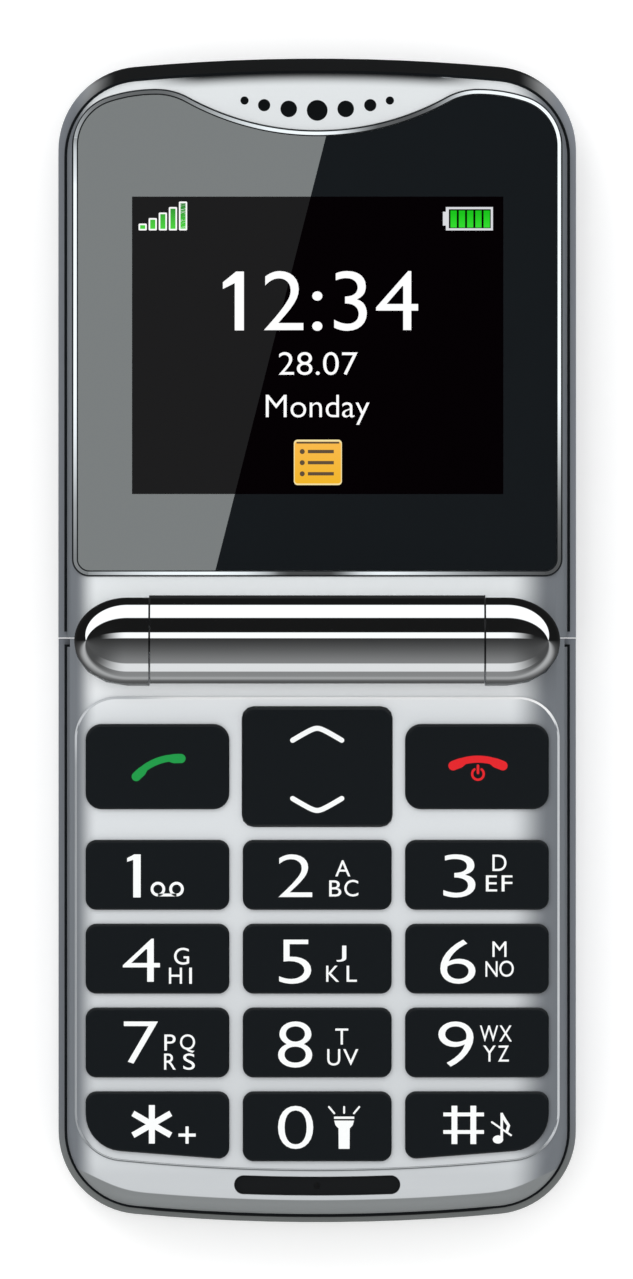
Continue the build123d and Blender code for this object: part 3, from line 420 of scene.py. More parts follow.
lid_silver = finish("silver_paint_lid", srgb("dbdfe1"), 0.42, grain=4000.0, spread=0.015)
# Painted light: lighter next to the barrel, lifting the barrel's shadow.
layer(lid_silver, "eaeef0", fade(lid_silver, "Y", 14, 7))
grey_sides(lid_silver)
# Painted dark reflection: the top end of the lid runs into black.
layer(lid_silver, black, join("MULTIPLY", end_rim(lid_silver, 3.1, 1.5), middle_zone(lid_silver, 19, 12)))
shade_trough(lid_silver)
dress(lid_silver, "lid_front_cover")

base_silver = finish("silver_paint_base", srgb("dce0e3"), 0.42, grain=4000.0, spread=0.015)
# Painted shade darker towards the foot and at its very end; painted light next to the barrel, lifting its shadow.
for code, start, end in (("cfd3d6", -10, -56), ("f0f3f5", -8.5, -5), ("c6cacd", -55.5, -57.5)):
    layer(base_silver, code, fade(base_silver, "Y", start, end))
grey_sides(base_silver)
grey_shoulder(base_silver)
dress(base_silver, "base_front_cover")

# ---- Hinge barrel ----------------------------------------------------------
# Three chrome-plated mouldings on one axis: a fixed tube on the base and a bullet at each end on the lid. The faces
# where they meet are painted black, as painted shade for the gaps between them.
plating = (0.95, 0.955, 0.96, 1.0)
chrome = finish("polished_chrome", plating, 0.015, metallic=1.0, grain=300.0, spread=0.01)
cap_low, cap_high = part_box("hinge_cap_right")
bullet_length = 5.7 * MM
ring_seam = 0.09 * MM
end_face = 0.9                       # a face that leans less than this along X belongs to the round wall


def surface(name, points, body, material, close=False, sharp=35.0):
    """A mesh from a grid of points: points[i, j] is where the two parameters i and j lead. Columns close on
    themselves where close is set. Doubled points, as at a pole, are merged."""
    rows, columns = points.shape[:2]
    i, j = np.meshgrid(np.arange(rows - 1), np.arange(columns if close else columns - 1), indexing="ij")
    right = (j + 1) % columns
    quads = np.stack([i * columns + j, i * columns + right, (i + 1) * columns + right, (i + 1) * columns + j], -1)
    made = lay_out(name, points.reshape(-1, 3), quads.reshape(-1, 4), material)
    mesh = made.data
    work = bmesh.new()
    work.from_mesh(mesh)
    bmesh.ops.remove_doubles(work, verts=work.verts, dist=1e-7)
    bmesh.ops.recalc_face_normals(work, faces=work.faces)
    work.to_mesh(mesh)
    work.free()
    mesh.polygons.foreach_set("use_smooth", np.ones(len(mesh.polygons), bool))
    mesh.set_sharp_from_angle(angle=radians(sharp))
    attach(made, body)
    return made


def turned(x, radius, steps=128):
    """A profile turned about the hinge axis: (x, r sin a, r cos a) for a full circle of a."""
    around = np.linspace(0, 2 * pi, steps, endpoint=False)
    return np.stack([np.broadcast_to(x[:, None], (len(x), steps)), radius[:, None] * np.sin(around),
                     hinge_z + radius[:, None] * np.cos(around)], -1)


def blacken(piece, picked):
    """Paints the faces that picked chooses from their normals black, as painted shade, in the gaskets' black."""
    piece.data.materials.append(rubber_and_shade_black)
    normals = np.empty(len(piece.data.polygons) * 3)
    piece.data.polygons.foreach_get("normal", normals)
    piece.data.polygons.foreach_set("material_index", picked(normals.reshape(-1, 3)).astype(np.int32))


tube_half = barrel_high.x - ring_seam
tube_x = np.array([-tube_half, -tube_half, tube_half, tube_half])
tube_r = np.array([0, barrel_radius, barrel_radius, 0])
tube = surface("barrel_tube", turned(tube_x, tube_r), "base", chrome, close=True)
blacken(tube, lambda normals: np.abs(normals[:, 0]) > end_face)
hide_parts("hinge_barrel_center")

along = np.linspace(0, pi / 2, 40)
bullet_start = cap_high.x - bullet_length
bullet_x = np.concatenate([[cap_low.x, cap_low.x], bullet_start + bullet_length * np.sin(along)])
bullet_r = np.concatenate([[0, barrel_radius], barrel_radius * np.cos(along)])
for side, node in ((-1, "hinge_cap_left"), (1, "hinge_cap_right")):
    cap = surface("barrel_bullet_" + node[10:], turned(side * bullet_x, bullet_r), "lid", chrome, close=True)
    blacken(cap, lambda normals: side * normals[:, 0] < -end_face)
    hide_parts(node)

# ---- Lens trim -------------------------------------------------------------
# A narrow chrome-plated bead round the lens, pressed into the lid. Its outline is a wave of tangent arcs on top, and
# its two sloped edges are painted black, as painted shade lines.
trim_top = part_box("lens_trim")[1].z
lens_low, lens_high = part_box("display_lens")
lens_half_width = lens_high.x
lens_foot_y = lens_low.y
lens_dip_y = 53.97 * MM
dip_radius = 29.2 * MM
hump_radius = 6.5 * MM
shoulder_radius = 16.1 * MM
corner_radius = 4.9 * MM
foot_radius = 1.23 * MM
shoulder_turn = radians(18)
trim_gap = 0.05 * MM
trim_width = 0.61 * MM
inner_line = 0.09 * MM
outer_line = 0.12 * MM
edge_drop = 0.12 * MM
trim_depth = 1.5 * MM
flat_face = 0.99


def walk(start, heading, moves, steps=24):
    """Points and outward normals along a chain of arcs and straights. A move is (radius, turn) with the turn
    positive to the left, or (None, length). Each arc is centre + radius (sin a, -cos a) for its headings a."""
    here = np.array(start, float)
    points, normals = [], []
    for radius, amount in moves:
        if radius is None:
            angles = np.array([heading, heading])
            run = here + np.outer([0, amount], (cos(heading), sin(heading)))
        else:
            angles = heading + np.linspace(0, amount, steps)
            bend = radius * np.sign(amount)
            centre = here + bend * np.array([-sin(heading), cos(heading)])
            run = centre + bend * np.stack([np.sin(angles), -np.cos(angles)], -1)
            heading += amount
        points.append(run)
        normals.append(np.stack([-np.sin(angles), np.cos(angles)], -1))
        here = run[-1]
    return np.concatenate(points), np.concatenate(normals)


def both_halves(points, normals):
    """A half outline closed by its mirror image in x = 0: its points and its normals."""
    flip = np.array([-1, 1])
    return [np.concatenate([half, half[::-1][1:-1] * flip]) for half in (points, normals)]


def at_heights(rings, heights):
    """A grid of (x, y) points made (x, y, z)."""
    return np.concatenate([rings, np.broadcast_to(heights, rings.shape[:2])[:, :, None]], -1)


def band(points, normals, outs, levels):
    """A strip carried along a closed outline: line j lies points + outs[j] normals, at levels[j]."""
    grid = at_heights(points[:, None] + normals[:, None] * outs[:, None], levels)
    return np.concatenate([grid, grid[:1]])


def lens_edge():
    """The whole outline of the lens, clockwise from the middle of the dip, with outward normals."""
    reach = lens_half_width - shoulder_radius * sin(shoulder_turn) - corner_radius * (1 - sin(shoulder_turn))
    first_turn = asin(reach / (dip_radius + hump_radius))
    arcs = [(dip_radius, first_turn), (hump_radius, -first_turn), (shoulder_radius, -shoulder_turn),
            (corner_radius, shoulder_turn - pi / 2)]
    corner_end = walk((0, lens_dip_y), 0, arcs)[0][-1]
    drop = corner_end[1] - lens_foot_y - foot_radius
    moves = arcs + [(None, drop), (foot_radius, -pi / 2), (None, lens_half_width - foot_radius)]
    return both_halves(*walk((0, lens_dip_y), 0, moves))


trim_out = np.array([trim_gap, trim_gap, trim_gap + inner_line, trim_width - outer_line, trim_width, trim_width])
trim_levels = trim_top - np.array([trim_depth, edge_drop, 0, 0, edge_drop, trim_depth])
bright_trim = finish("bright_trim", plating, 0.002, metallic=1.0, grain=300.0, spread=0.01)
trim = surface("lens_trim_bead", band(*lens_edge(), trim_out, trim_levels), "lid", bright_trim, close=True, sharp=20)
# Painted shade: the sloped edges are painted black.
blacken(trim, lambda normals: normals[:, 2] < flat_face)
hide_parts("lens_trim")

trim_takers = bpy.data.collections.new("trim_takers")
trim_takers.objects.link(trim)
left_tones = [(12, 0.18), (18, 0.2), (29, 0.38), (36, 0.65), (44, 0.94), (52, 1.06), (97.5, 1.06), (98.9, 0.9),
              (101, 0.8), (103.2, 0.69), (105.1, 0.62), (106, 0.48), (107.6, 0.3)]
right_tones = [(12, 0.03), (18, 0.06), (24, 0.10), (29, 0.18), (36, 0.42), (44, 0.76), (52, 1.06), (107, 1.06)]
top_tones = [(-57, 0.46), (-52, 0.46), (-50.5, 0.3), (-48, 0.17), (-42, 0.11), (-36, 0.1), (-32, 0.12), (-29, 0.19),
             (-24, 0.33), (-20, 0.5), (-15, 0.77), (-10, 1.0), (0, 1.06), (4, 0.95), (7, 0.6), (10, 0.28), (13, 0.09),
             (20, 0.06), (24, 0.10), (28, 0.35), (31, 0.7), (33, 0.98), (36, 1.06), (57, 1.06)]
foot_tones = [(-49, 0.28), (-40, 0.72), (-33, 0.98), (-22, 1.06), (-15, 0.88), (-10.5, 0.48), (-8, 0.1), (-6, 0.03),
              (3, 0.03), (5, 0.15), (6.4, 0.32), (9, 0.7), (13, 0.94), (16, 0.96), (23, 0.7), (32, 0.33), (40, 0.12),
              (49, 0.05)]
side_height = eye_height + 4 * MM    # cards at one level would hide each other's edges
end_height = eye_height + 8 * MM
reflector("trim_card_left", bar(-57, -49, 12, 107.6), side_height, trim_takers, left_tones, "Y")
reflector("trim_card_right", bar(49, 57, 12, 107.6), side_height, trim_takers, right_tones, "Y")
reflector("trim_card_top", bar(-57, 57, 107.6, 121), end_height, trim_takers, top_tones)
reflector("trim_card_foot", bar(-49, 49, 12, 16), end_height, trim_takers, foot_tones)

# ---- Lens ------------------------------------------------------------------
# One flat acrylic window, printed black behind, on a shelf of the lid over the display module. What shows through
# it is in the next section.
lens_black = finish("black_lens", (0.0068, 0.0088, 0.0106, 1.0), 0.003, grain=200.0, spread=0.04)
dress(lens_black, "display_lens", "lcd_module")
lens_takers.objects.link(frame["nodes"]["display_lens"])


# ---- Display ---------------------------------------------------------------
# The lit area under the lens: a dark picture with signal and battery signs, the time, the date and a menu button.
# Thin layers right on the lens stand for what shows through it. Figures are drawn in millimetres round a middle.
def turning(outline):
    """Twice the signed area of an outline, positive where it runs anticlockwise."""
    o = np.asarray(outline, float)
    nxt = np.roll(o, -1, 0)
    return float(np.sum(o[:, 0] * nxt[:, 1] - nxt[:, 0] * o[:, 1]))


def plate(name, outlines, middle, level, body, material, letters=(), film=0.0):
    """Flat figures in one mesh that rides on a body: outlines of (x, y) points in millimetres round middle.

    Each outline lies a film above the last. letters are pairs of vertices (x, y, films up) and faces.
    """
    vertices, faces, count = [], [], 0
    for spots, polys in letters:
        vertices.append(spots)
        faces += [tuple(i + count for i in p) for p in polys]
        count += len(spots)
    for number, outline in enumerate(outlines):
        run = tuple(range(count, count + len(outline)))
        faces.append(run if turning(outline) > 0 else run[::-1])
        vertices.append(np.column_stack([outline, np.full(len(outline), number)]))
        count += len(outline)
    corners = np.concatenate(vertices) * (MM, MM, film) + (middle[0], middle[1], level)
    made = lay_out(name, corners, faces, material)
    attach(made, body)
    return made


def ribbon(path, width, steps=8):
    """The outline of a stroke with round ends along a path: both sides of it, offset by half the width along the
    normals, joined by half circles. The width may change along the path."""
    p = np.asarray(path, float)
    run = np.gradient(p, axis=0)
    run /= np.linalg.norm(run, axis=1)[:, None]
    side = np.stack([-run[:, 1], run[:, 0]], -1)
    half = np.broadcast_to(np.asarray(width, float) / 2, len(p))[:, None]
    sweep = np.linspace(-pi / 2, pi / 2, steps)[1:-1]

    def cap(centre, forward, left, radius):
        return centre + radius * (np.cos(sweep)[:, None] * forward + np.sin(sweep)[:, None] * left)

    far_end = cap(p[-1], run[-1], side[-1], half[-1])
    near_end = cap(p[0], -run[0], -side[0], half[0])
    return np.concatenate([p - side * half, far_end, (p + side * half)[::-1], near_end])


def arc(x, y, radius, angles):
    """Points on a circle: (x + r cos a, y + r sin a)."""
    return np.stack([x + radius * np.cos(angles), y + radius * np.sin(angles)], -1)


def soft_bar(x0, x1, y0, y1, radius, steps=6):
    """A rectangle with rounded corners."""
    a = np.linspace(0, pi / 2, steps)
    corners = [(x1 - radius, y0 + radius, -pi / 2), (x1 - radius, y1 - radius, 0), (x0 + radius, y1 - radius, pi / 2),
               (x0 + radius, y0 + radius, pi)]
    return np.concatenate([arc(x, y, radius, a + start) for x, y, start in corners])


def circle(x, y, radius, steps=24):
    """A disc's outline."""
    return arc(x, y, radius, np.linspace(0, 2 * pi, steps, endpoint=False))


def letter(text, x, y, width, height, weight=0.0):
    """Plain type as vertices and faces, fitted to a box of that width and height round x, y. A width of None keeps
    the type's own proportions. weight widens the strokes, as a share of the type size."""
    curve = bpy.data.curves.new("type", "FONT")
    curve.body = text
    curve.offset = weight
    curve.resolution_u = 6
    thing = bpy.data.objects.new("type", curve)
    bpy.context.scene.collection.objects.link(thing)
    bpy.context.view_layer.update()
    mesh = bpy.data.meshes.new_from_object(thing.evaluated_get(bpy.context.evaluated_depsgraph_get()))
    spots = np.empty(len(mesh.vertices) * 3)
    mesh.vertices.foreach_get("co", spots)
    spots = spots.reshape(-1, 3)[:, :2]
    faces = [tuple(p.vertices) for p in mesh.polygons]
    low, high = spots.min(0), spots.max(0)
    scale_y = height / (high[1] - low[1])
    scale_x = scale_y if width is None else width / (high[0] - low[0])
    spots = (spots - (low + high) / 2) * (scale_x, scale_y) + (x, y)
    bpy.data.objects.remove(thing)
    bpy.data.meshes.remove(mesh)
    return np.column_stack([spots, np.zeros(len(spots))]), faces


def figure_one(x, y, width, height, stem, drop, flag):
    """A figure 1 in a box of that width and height round x, y: a stem on the right and a slanting flag on its left,
    which falls by drop from the top and is flag thick."""
    left, right, foot, top = x - width / 2, x + width / 2, y - height / 2, y + height / 2
    return np.array([(left, top - drop), (right - stem * 0.85, top), (right, top), (right, foot),
                     (right - stem, foot), (right - stem, top - drop * 0.45 - flag), (left, top - drop - flag)])


middle_x = 0.05                      # the middle of the picture, in millimetres
middle_y = 31.6
picture_half_x = 19.87
picture_half_y = 15.92
ink_film = 0.0015 * MM
layer_step = 0.008 * MM
picture_level = lens_high.z + layer_step


def light_ink(name, code, low_code=None, low=0.0, high=1.0):
    """A lit part of the picture: it glows in its own colour and is otherwise dark. With a low_code, it runs from
    that colour at low to its own at high, in millimetres above the middle of the picture."""
    ink = finish(name, (0.01, 0.01, 0.01, 1.0), 0.4, specular=0.0)
    shader = ink.node_tree.nodes["Principled BSDF"]
    shader.inputs["Emission Color"].default_value = srgb(code)
    shader.inputs["Emission Strength"].default_value = 1.0
    if low_code:
        rise = fade(ink, "Y", middle_y + low, middle_y + high, soft=False)
        run = wire(ink.node_tree, "Mix", {0: rise, 6: srgb(low_code), 7: srgb(code)}, data_type="RGBA")
        ink.node_tree.links.new(run.outputs[2], shader.inputs["Emission Color"])
    return ink


def in_picture(name, outlines, layers, material, letters=(), film=0.0):
    """Figures in the picture, so many layers above its dark ground."""
    level = picture_level + layers * layer_step
    return plate(name, outlines, (middle_x * MM, middle_y * MM), level, "lid", material, letters, film)


picture = finish("display_glass", (0.0012, 0.0004, 0.0009, 1.0), 0.003, specular=0.031, grain=200.0)
window = bar(-picture_half_x, picture_half_x, -picture_half_y, picture_half_y)
lens_takers.objects.link(in_picture("display_picture", [window], 0, picture))

type_weight = -0.006
clock_one = figure_one(-9.02, 4.75, 2.25, 6.3, 0.98, 1.15, 0.72)
lines = [letter("2:34", 2.5, 4.75, 16.5, 6.4, type_weight), letter("28.07", 0.05, -1.95, 8.45, 2.45, type_weight),
         letter("Monday", 0, -6.9, None, 3.2, type_weight)]

bar_width = 0.88
bar_rim = 0.165
signal_foot = 12.3
signal_outer, signal_inner = [], []
for number in range(5):
    x = -19.17 + number * 1.08
    top = signal_foot + 0.73 + 0.59 * number
    signal_outer.append(soft_bar(x, x + bar_width, signal_foot, top, 0.12))
    signal_inner.append(bar(x + bar_rim, x + bar_width - bar_rim, signal_foot + bar_rim, top - bar_rim))
in_picture("display_white", [clock_one] + signal_outer, 1, light_ink("white_light", "ffffff"), lines, ink_film)
signal_light = light_ink("signal_light", "1f7a28", "4cd83c", signal_foot, signal_foot + 2.9)
in_picture("signal_green", signal_inner, 2, signal_light)

left, right, foot, top = 13.72, 18.76, 12.30, 14.80
rim = 0.23
nose = 0.32
battery_frame = [
    bar(left, right, foot, foot + rim), bar(left, right, top - rim, top),
    bar(left, left + nose, foot + rim, top - rim), bar(right - rim, right, foot + rim, top - rim),
    bar(left - nose, left, foot + 0.52, top - 0.50),
]
in_picture("battery_frame", battery_frame, 1, light_ink("frame_light", "d9dbdf"))
cell_starts = left + 0.50 + np.arange(5) * 0.885
battery_cells = [bar(start, start + 0.67, foot + 0.31, top - 0.37) for start in cell_starts]
cell_light = light_ink("cell_light", "04c206", "2cdc26", foot + 0.3, top - 0.7)
in_picture("battery_green", battery_cells, 2, cell_light)

menu_x = 0.02
menu_y = -12.53
left, right, foot, top = menu_x - 2.57, menu_x + 2.57, menu_y - 2.43, menu_y + 2.43
menu_face = soft_bar(left + 0.1, right - 0.1, foot + 0.17, top - 0.2, 0.3)
in_picture("menu_rim", [soft_bar(left, right, foot, top, 0.4)], 1, light_ink("pale_light", "f5e2a4"))
in_picture("menu_button", [menu_face], 2, light_ink("button_light", "fab948", "efb41a", foot, top))
menu_rows = [bar(left + 0.28, right - 0.28, top - 0.42, top - 0.22)]
for y in menu_y - 0.03 + 1.19 * np.array([-1, 0, 1]):
    menu_rows += [circle(menu_x - 1.67, y, 0.27), bar(menu_x - 1.07, menu_x + 1.71, y - 0.18, y + 0.18)]
in_picture("menu_lines", menu_rows, 3, light_ink("brown_light", "5c4a33"))

# ---- Earpiece holes --------------------------------------------------------
# Seven round holes in the lid that shrink outwards along the wave. Behind each is a dished cloth insert, seen as a
# black dot.
cloth = finish("black_cloth", srgb(black), 0.8, specular=0.1, grain=6000.0, spread=0.3)
front_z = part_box("lid_front_cover")[1].z
hole_radii = (1.09, 0.87, 0.64, 0.43)
hole_pitches = (0.0, 3.05, 2.63, 2.1)
hole_rise = 2.78 * MM
hole_lift = 0.01 * MM
hole_depth = 0.12 * MM
cloth_overlap = 1.02
bowl_share = 0.91                    # the share of a hole's radius where its flat lip ends


def dish(x, y, radius, rim_z, depth, steps=32):
    """A shallow bowl with a flat lip: rings of radius r at rim_z, falling by depth times the square root of the way
    in from the lip."""
    share = np.concatenate([[1, bowl_share], np.linspace(0.9, 0, 7)])
    around = np.linspace(0, 2 * pi, steps, endpoint=False)
    z = rim_z - depth * np.sqrt(((bowl_share - share) / bowl_share).clip(0))
    return at_heights(arc(x, y, radius * share[:, None], around), z[:, None])


hole_x = 0.0
for number, (radius, pitch) in enumerate(zip(hole_radii, hole_pitches)):
    hole_x += pitch * MM
    hole_y = lens_dip_y + hole_rise + dip_radius - (dip_radius**2 - hole_x**2) ** 0.5
    for side in ((1,) if number == 0 else (-1, 1)):
        bowl = dish(side * hole_x, hole_y, radius * cloth_overlap * MM, front_z + hole_lift, hole_depth)
        surface(f"earpiece_hole_{number}{'l' if side < 0 else 'r'}", bowl, "lid", cloth, close=True, sharp=180)

# ---- Keys ------------------------------------------------------------------
# Gloss black keycaps with a rounded edge, standing just above the raised field. Legends are printed in white. The
# casing's thin moulded lip closes in on every cap but the rocker, which needs room to tilt.
key_black = finish("black_key", srgb("14181b"), 0.16, specular=0.35, grain=1500.0, spread=0.05)
key_ink = finish("white_print", srgb("f6f8f8"), 0.5, specular=0.2, grain=3000.0, spread=0.01)
call_ink = finish("green_print", srgb("149b45"), 0.5, specular=0.2, grain=3000.0, spread=0.02)
end_ink = finish("red_print", srgb("e31b23"), 0.5, specular=0.2, grain=3000.0, spread=0.02)
ink_lift = 0.015 * MM
key_edge = 0.22 * MM
key_flange = 0.5 * MM
key_corner = 1.15 * MM
call_corner = 1.7 * MM
outer_corner = 4.0 * MM
foot_arc = 225.0 * MM
foot_lift = 0.02 * MM                # keeps a cap's foot clear of the piece under it
lip_outer = 0.15 * MM
lip_inner = 0.02 * MM
own_middle = ("call", "nav", "end")  # keys whose signs sit round the middle of the key
digit_weight = -0.01
letter_weight = 0.0
glyphs = {                           # on each key: figure, x and y from the key's middle, width, height; millimetres
    "2": [("2", -2.36, -0.11, 3.65, 4.61), ("A", 2.74, 0.70, 1.61, 1.72), ("B", 1.93, -1.45, 1.29, 1.72),
          ("C", 3.65, -1.42, 1.50, 1.78)],
    "3": [("3", -1.88, -0.11, 3.43, 4.61), ("D", 2.41, 1.29, 1.50, 1.75), ("E", 1.56, -0.91, 1.20, 1.72),
          ("F", 3.22, -0.91, 1.15, 1.72)],
    "4": [("4", -1.72, -0.16, 3.97, 4.61), ("G", 2.58, 0.27, 1.61, 1.80), ("H", 1.93, -1.82, 1.39, 1.72),
          ("l", 3.54, -1.82, 0.29, 1.72)],
    "5": [("5", -2.36, -0.32, 3.43, 4.72), ("J", 2.58, 0.54, 1.07, 1.72), ("K", 1.66, -1.61, 1.39, 1.72),
          ("L", 3.70, -1.61, 1.10, 1.72)],
    "6": [("6", -2.04, -0.32, 3.76, 4.72), ("M", 2.41, 1.02, 1.50, 1.66), ("N", 1.56, -1.10, 1.29, 1.66),
          ("O", 3.17, -1.07, 1.55, 1.72)],
    "7": [("7", -1.77, 0.00, 3.65, 4.51), ("P", 1.34, 0.00, 1.20, 1.72), ("Q", 3.22, -0.10, 1.61, 1.95),
          ("R", 1.34, -2.04, 1.25, 1.72), ("S", 3.38, -2.04, 1.25, 1.75)],
    "8": [("8", -2.36, -0.21, 3.65, 4.94), ("T", 2.63, 0.64, 1.39, 1.72), ("U", 1.77, -1.58, 1.39, 1.76),
          ("V", 3.59, -1.57, 1.61, 1.72)],
    "9": [("9", -2.25, -0.16, 3.76, 4.83), ("W", 1.29, 0.97, 1.95, 1.72), ("X", 3.06, 0.97, 1.35, 1.72),
          ("Y", 1.34, -1.18, 1.35, 1.72), ("Z", 2.84, -1.18, 1.15, 1.72)],
    "0": [("0", -2.31, -0.11, 3.76, 4.61)],
}


def rounded(corners, radii, steps=9):
    """A polygon, anticlockwise, with each corner turned by an arc of its own radius: points and outward normals."""
    c = np.array(corners, float)
    points, normals = [], []
    for number, radius in enumerate(radii):
        back = c[number - 1] - c[number]
        ahead = c[(number + 1) % len(c)] - c[number]
        back, ahead = back / np.linalg.norm(back), ahead / np.linalg.norm(ahead)
        half_angle = np.arccos(back @ ahead) / 2
        middle = c[number] + (back + ahead) / np.linalg.norm(back + ahead) * radius / sin(half_angle)
        first = c[number] + back * radius / np.tan(half_angle) - middle
        start = np.arctan2(first[1], first[0])
        a = start + np.linspace(0, pi - 2 * half_angle, steps)
        spoke = arc(0, 0, 1, a)
        points.append(middle + radius * spoke)
        normals.append(spoke)
    return np.concatenate(points), np.concatenate(normals)


def keycap(outline, normals, foot_z, top_z):
    """A cap: its wall, a quarter-round edge of radius key_edge, and a flat top drawn in to the middle."""
    a = np.linspace(0, pi / 2, 7)
    inset = np.concatenate([[0], key_edge * (1 - np.cos(a)), [key_edge * 1.25]])
    level = np.concatenate([[foot_z], top_z - key_edge * (1 - np.sin(a)), [top_z, top_z]])
    loops = outline[None] - normals[None] * inset[:, None, None]
    loops = np.concatenate([loops, np.broadcast_to(outline.mean(0), (1,) + outline.shape)])
    return at_heights(loops, level[:, None])


def foot_rise(x):
    """Height of a wide arc above its lowest point."""
    return foot_arc - (foot_arc**2 - x**2) ** 0.5


def key_corners(name):
    """Corners and corner radii of a key's outline, anticlockwise, from its CAD box less the rim under the casing. The
    star and hash keys slant along their foot, and have a wide corner there."""
    low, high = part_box("key_" + name)
    x0, x1, y0, y1 = low.x + key_flange, high.x - key_flange, low.y + key_flange, high.y - key_flange
    feet = [y0, y0]
    radii = [call_corner if name in ("call", "end") else key_corner] * 4
    if name in ("star", "hash"):
        feet = [row_foot_y + foot_rise(x) for x in (x0, x1)]
        radii[0 if name == "star" else 1] = outer_corner
    return [(x0, feet[0]), (x1, feet[1]), (x1, y1), (x0, y1)], radii


def spokes(x, y, lengths, width):
    """One outline of bars that cross in the middle: one arm for each length, the first straight up, with the notch
    between two arms at half the width over the sine of half their angle."""
    count = len(lengths)
    length = np.array(lengths)[:, None]
    turns = pi / 2 + np.arange(count) * 2 * pi / count
    notch = width / 2 / sin(pi / count)
    along_arm = arc(0, 0, 1, turns)
    across = along_arm[:, ::-1] * (1, -1)
    corners = np.stack([length * along_arm + across * width / 2, length * along_arm - across * width / 2,
                        arc(0, 0, notch, turns + pi / count)], 1)
    return corners.reshape(-1, 2) + (x, y)


def hoop(x, y, radius, width, steps=40):
    """A flat ring as quads between two circles, one film up. Returns vertices and faces, as letter does."""
    rings = [circle(x, y, r, steps) for r in (radius - width / 2, radius + width / 2)]
    n = np.arange(steps)
    nxt = (n + 1) % steps
    faces = np.stack([n, n + steps, nxt + steps, nxt], -1)
    return np.column_stack([np.concatenate(rings), np.ones(2 * steps)]), [tuple(f) for f in faces.tolist()]


def handset(x, y, size, tilt):
    """A telephone handset: a drooping stroke, thick at both ends, turned by tilt degrees about its middle."""
    t = np.linspace(-1, 1, 41)
    lump = np.clip((np.abs(t) - 0.52) / 0.22, 0, 1)
    width = 0.76 + 0.26 * lump * lump * (3 - 2 * lump)
    shape = ribbon(np.stack([2.66 * t, -0.58 * t * t - 0.12 * lump], -1), width, 12) * size
    turned_by = radians(tilt)
    spin = np.array([[cos(turned_by), sin(turned_by)], [-sin(turned_by), cos(turned_by)]])
    return shape @ spin + (x, y)


def roof(bend):
    """Height of an arrow head along its width: a peak rounded as a hyperbola, falling to 0 at bend = -1 and 1."""
    return 1.28 * (1 - (np.sqrt(bend**2 + 0.05) - 0.05**0.5) / (1.05**0.5 - 0.05**0.5))


def power_ring(x, y, radius):
    """An open ring with a stroke through its gap."""
    gap = np.linspace(radians(128), radians(412), 28)
    return [ribbon(arc(x, y, radius, gap), 0.26), ribbon([(x, y + 0.1), (x, y + 0.88)], 0.28)]


def silent_note(x, y):
    """A note with its head at x, y, and a stroke across it."""
    flag = [(x + 0.42, y + 2.65), (x + 0.80, y + 2.0), (x + 1.15, y + 1.5), (x + 0.95, y + 0.85)]
    return [circle(0, 0, 1.0) * (0.56, 0.44) + (x, y), bar(x + 0.27, x + 0.54, y, y + 2.85), ribbon(flag, 0.32),
            ribbon([(x - 0.65, y + 1.85), (x + 1.4, y + 0.45)], 0.2)]


def torch(x):
    """A torch with three beams, on a line at x."""
    half = np.array([(1.06, 0.62), (0.92, 0.12), (0.60, -0.22), (0.58, -2.40)])
    case = np.concatenate([half * (-1, 1), half[::-1]]) + (x, 0)
    beams = [ribbon([(x + start, 1.40 if start else 1.45), (x + end, 2.08)], 0.20)
             for start, end in ((-1.05, -1.62), (0.0, 0.0), (1.05, 1.62))]
    return [bar(x - 1.08, x + 1.08, 0.80, 1.05), case] + beams


bend = np.linspace(-1, 1, 41)
tape_y = -1.52
reel = 0.63
reels_x = (0.05, 2.04)
hash_y = 0.16
signs = {                            # outlines on each key, in millimetres from the middle that its legend has
    "call": [handset(-0.13, 0.53, 0.97, 22)],
    "nav": [ribbon(np.stack([bend * 2.63, 2.82 + roof(bend)], -1), 0.54),
            ribbon(np.stack([bend * 2.63, -3.41 - roof(bend)], -1), 0.54)],
    "end": [handset(0.11, 0.80, 1.0, 0)] + power_ring(0.11, -0.78, 0.62),
    "1": [figure_one(-2.52, -0.11, 1.45, 4.61, 0.80, 0.40, 0.40),
          bar(*reels_x, tape_y - reel - 0.15, tape_y - reel + 0.15)],
    "star": [spokes(-0.60, 0.22, [2.06, 2.34, 2.34, 2.06, 2.34, 2.34], 0.64), spokes(3.17, -0.93, [0.92] * 4, 0.33)],
    "hash": [bar(x - 0.31, x + 0.31, hash_y - 2.05, hash_y + 2.05) for x in (-2.41, -0.39)]
            + [bar(-3.6, 0.75, y - 0.20, y + 0.20) for y in (1.28, -0.60)] + silent_note(2.25, -1.40),
    "0": torch(2.88),
}
inks = {"call": call_ink, "end": end_ink}

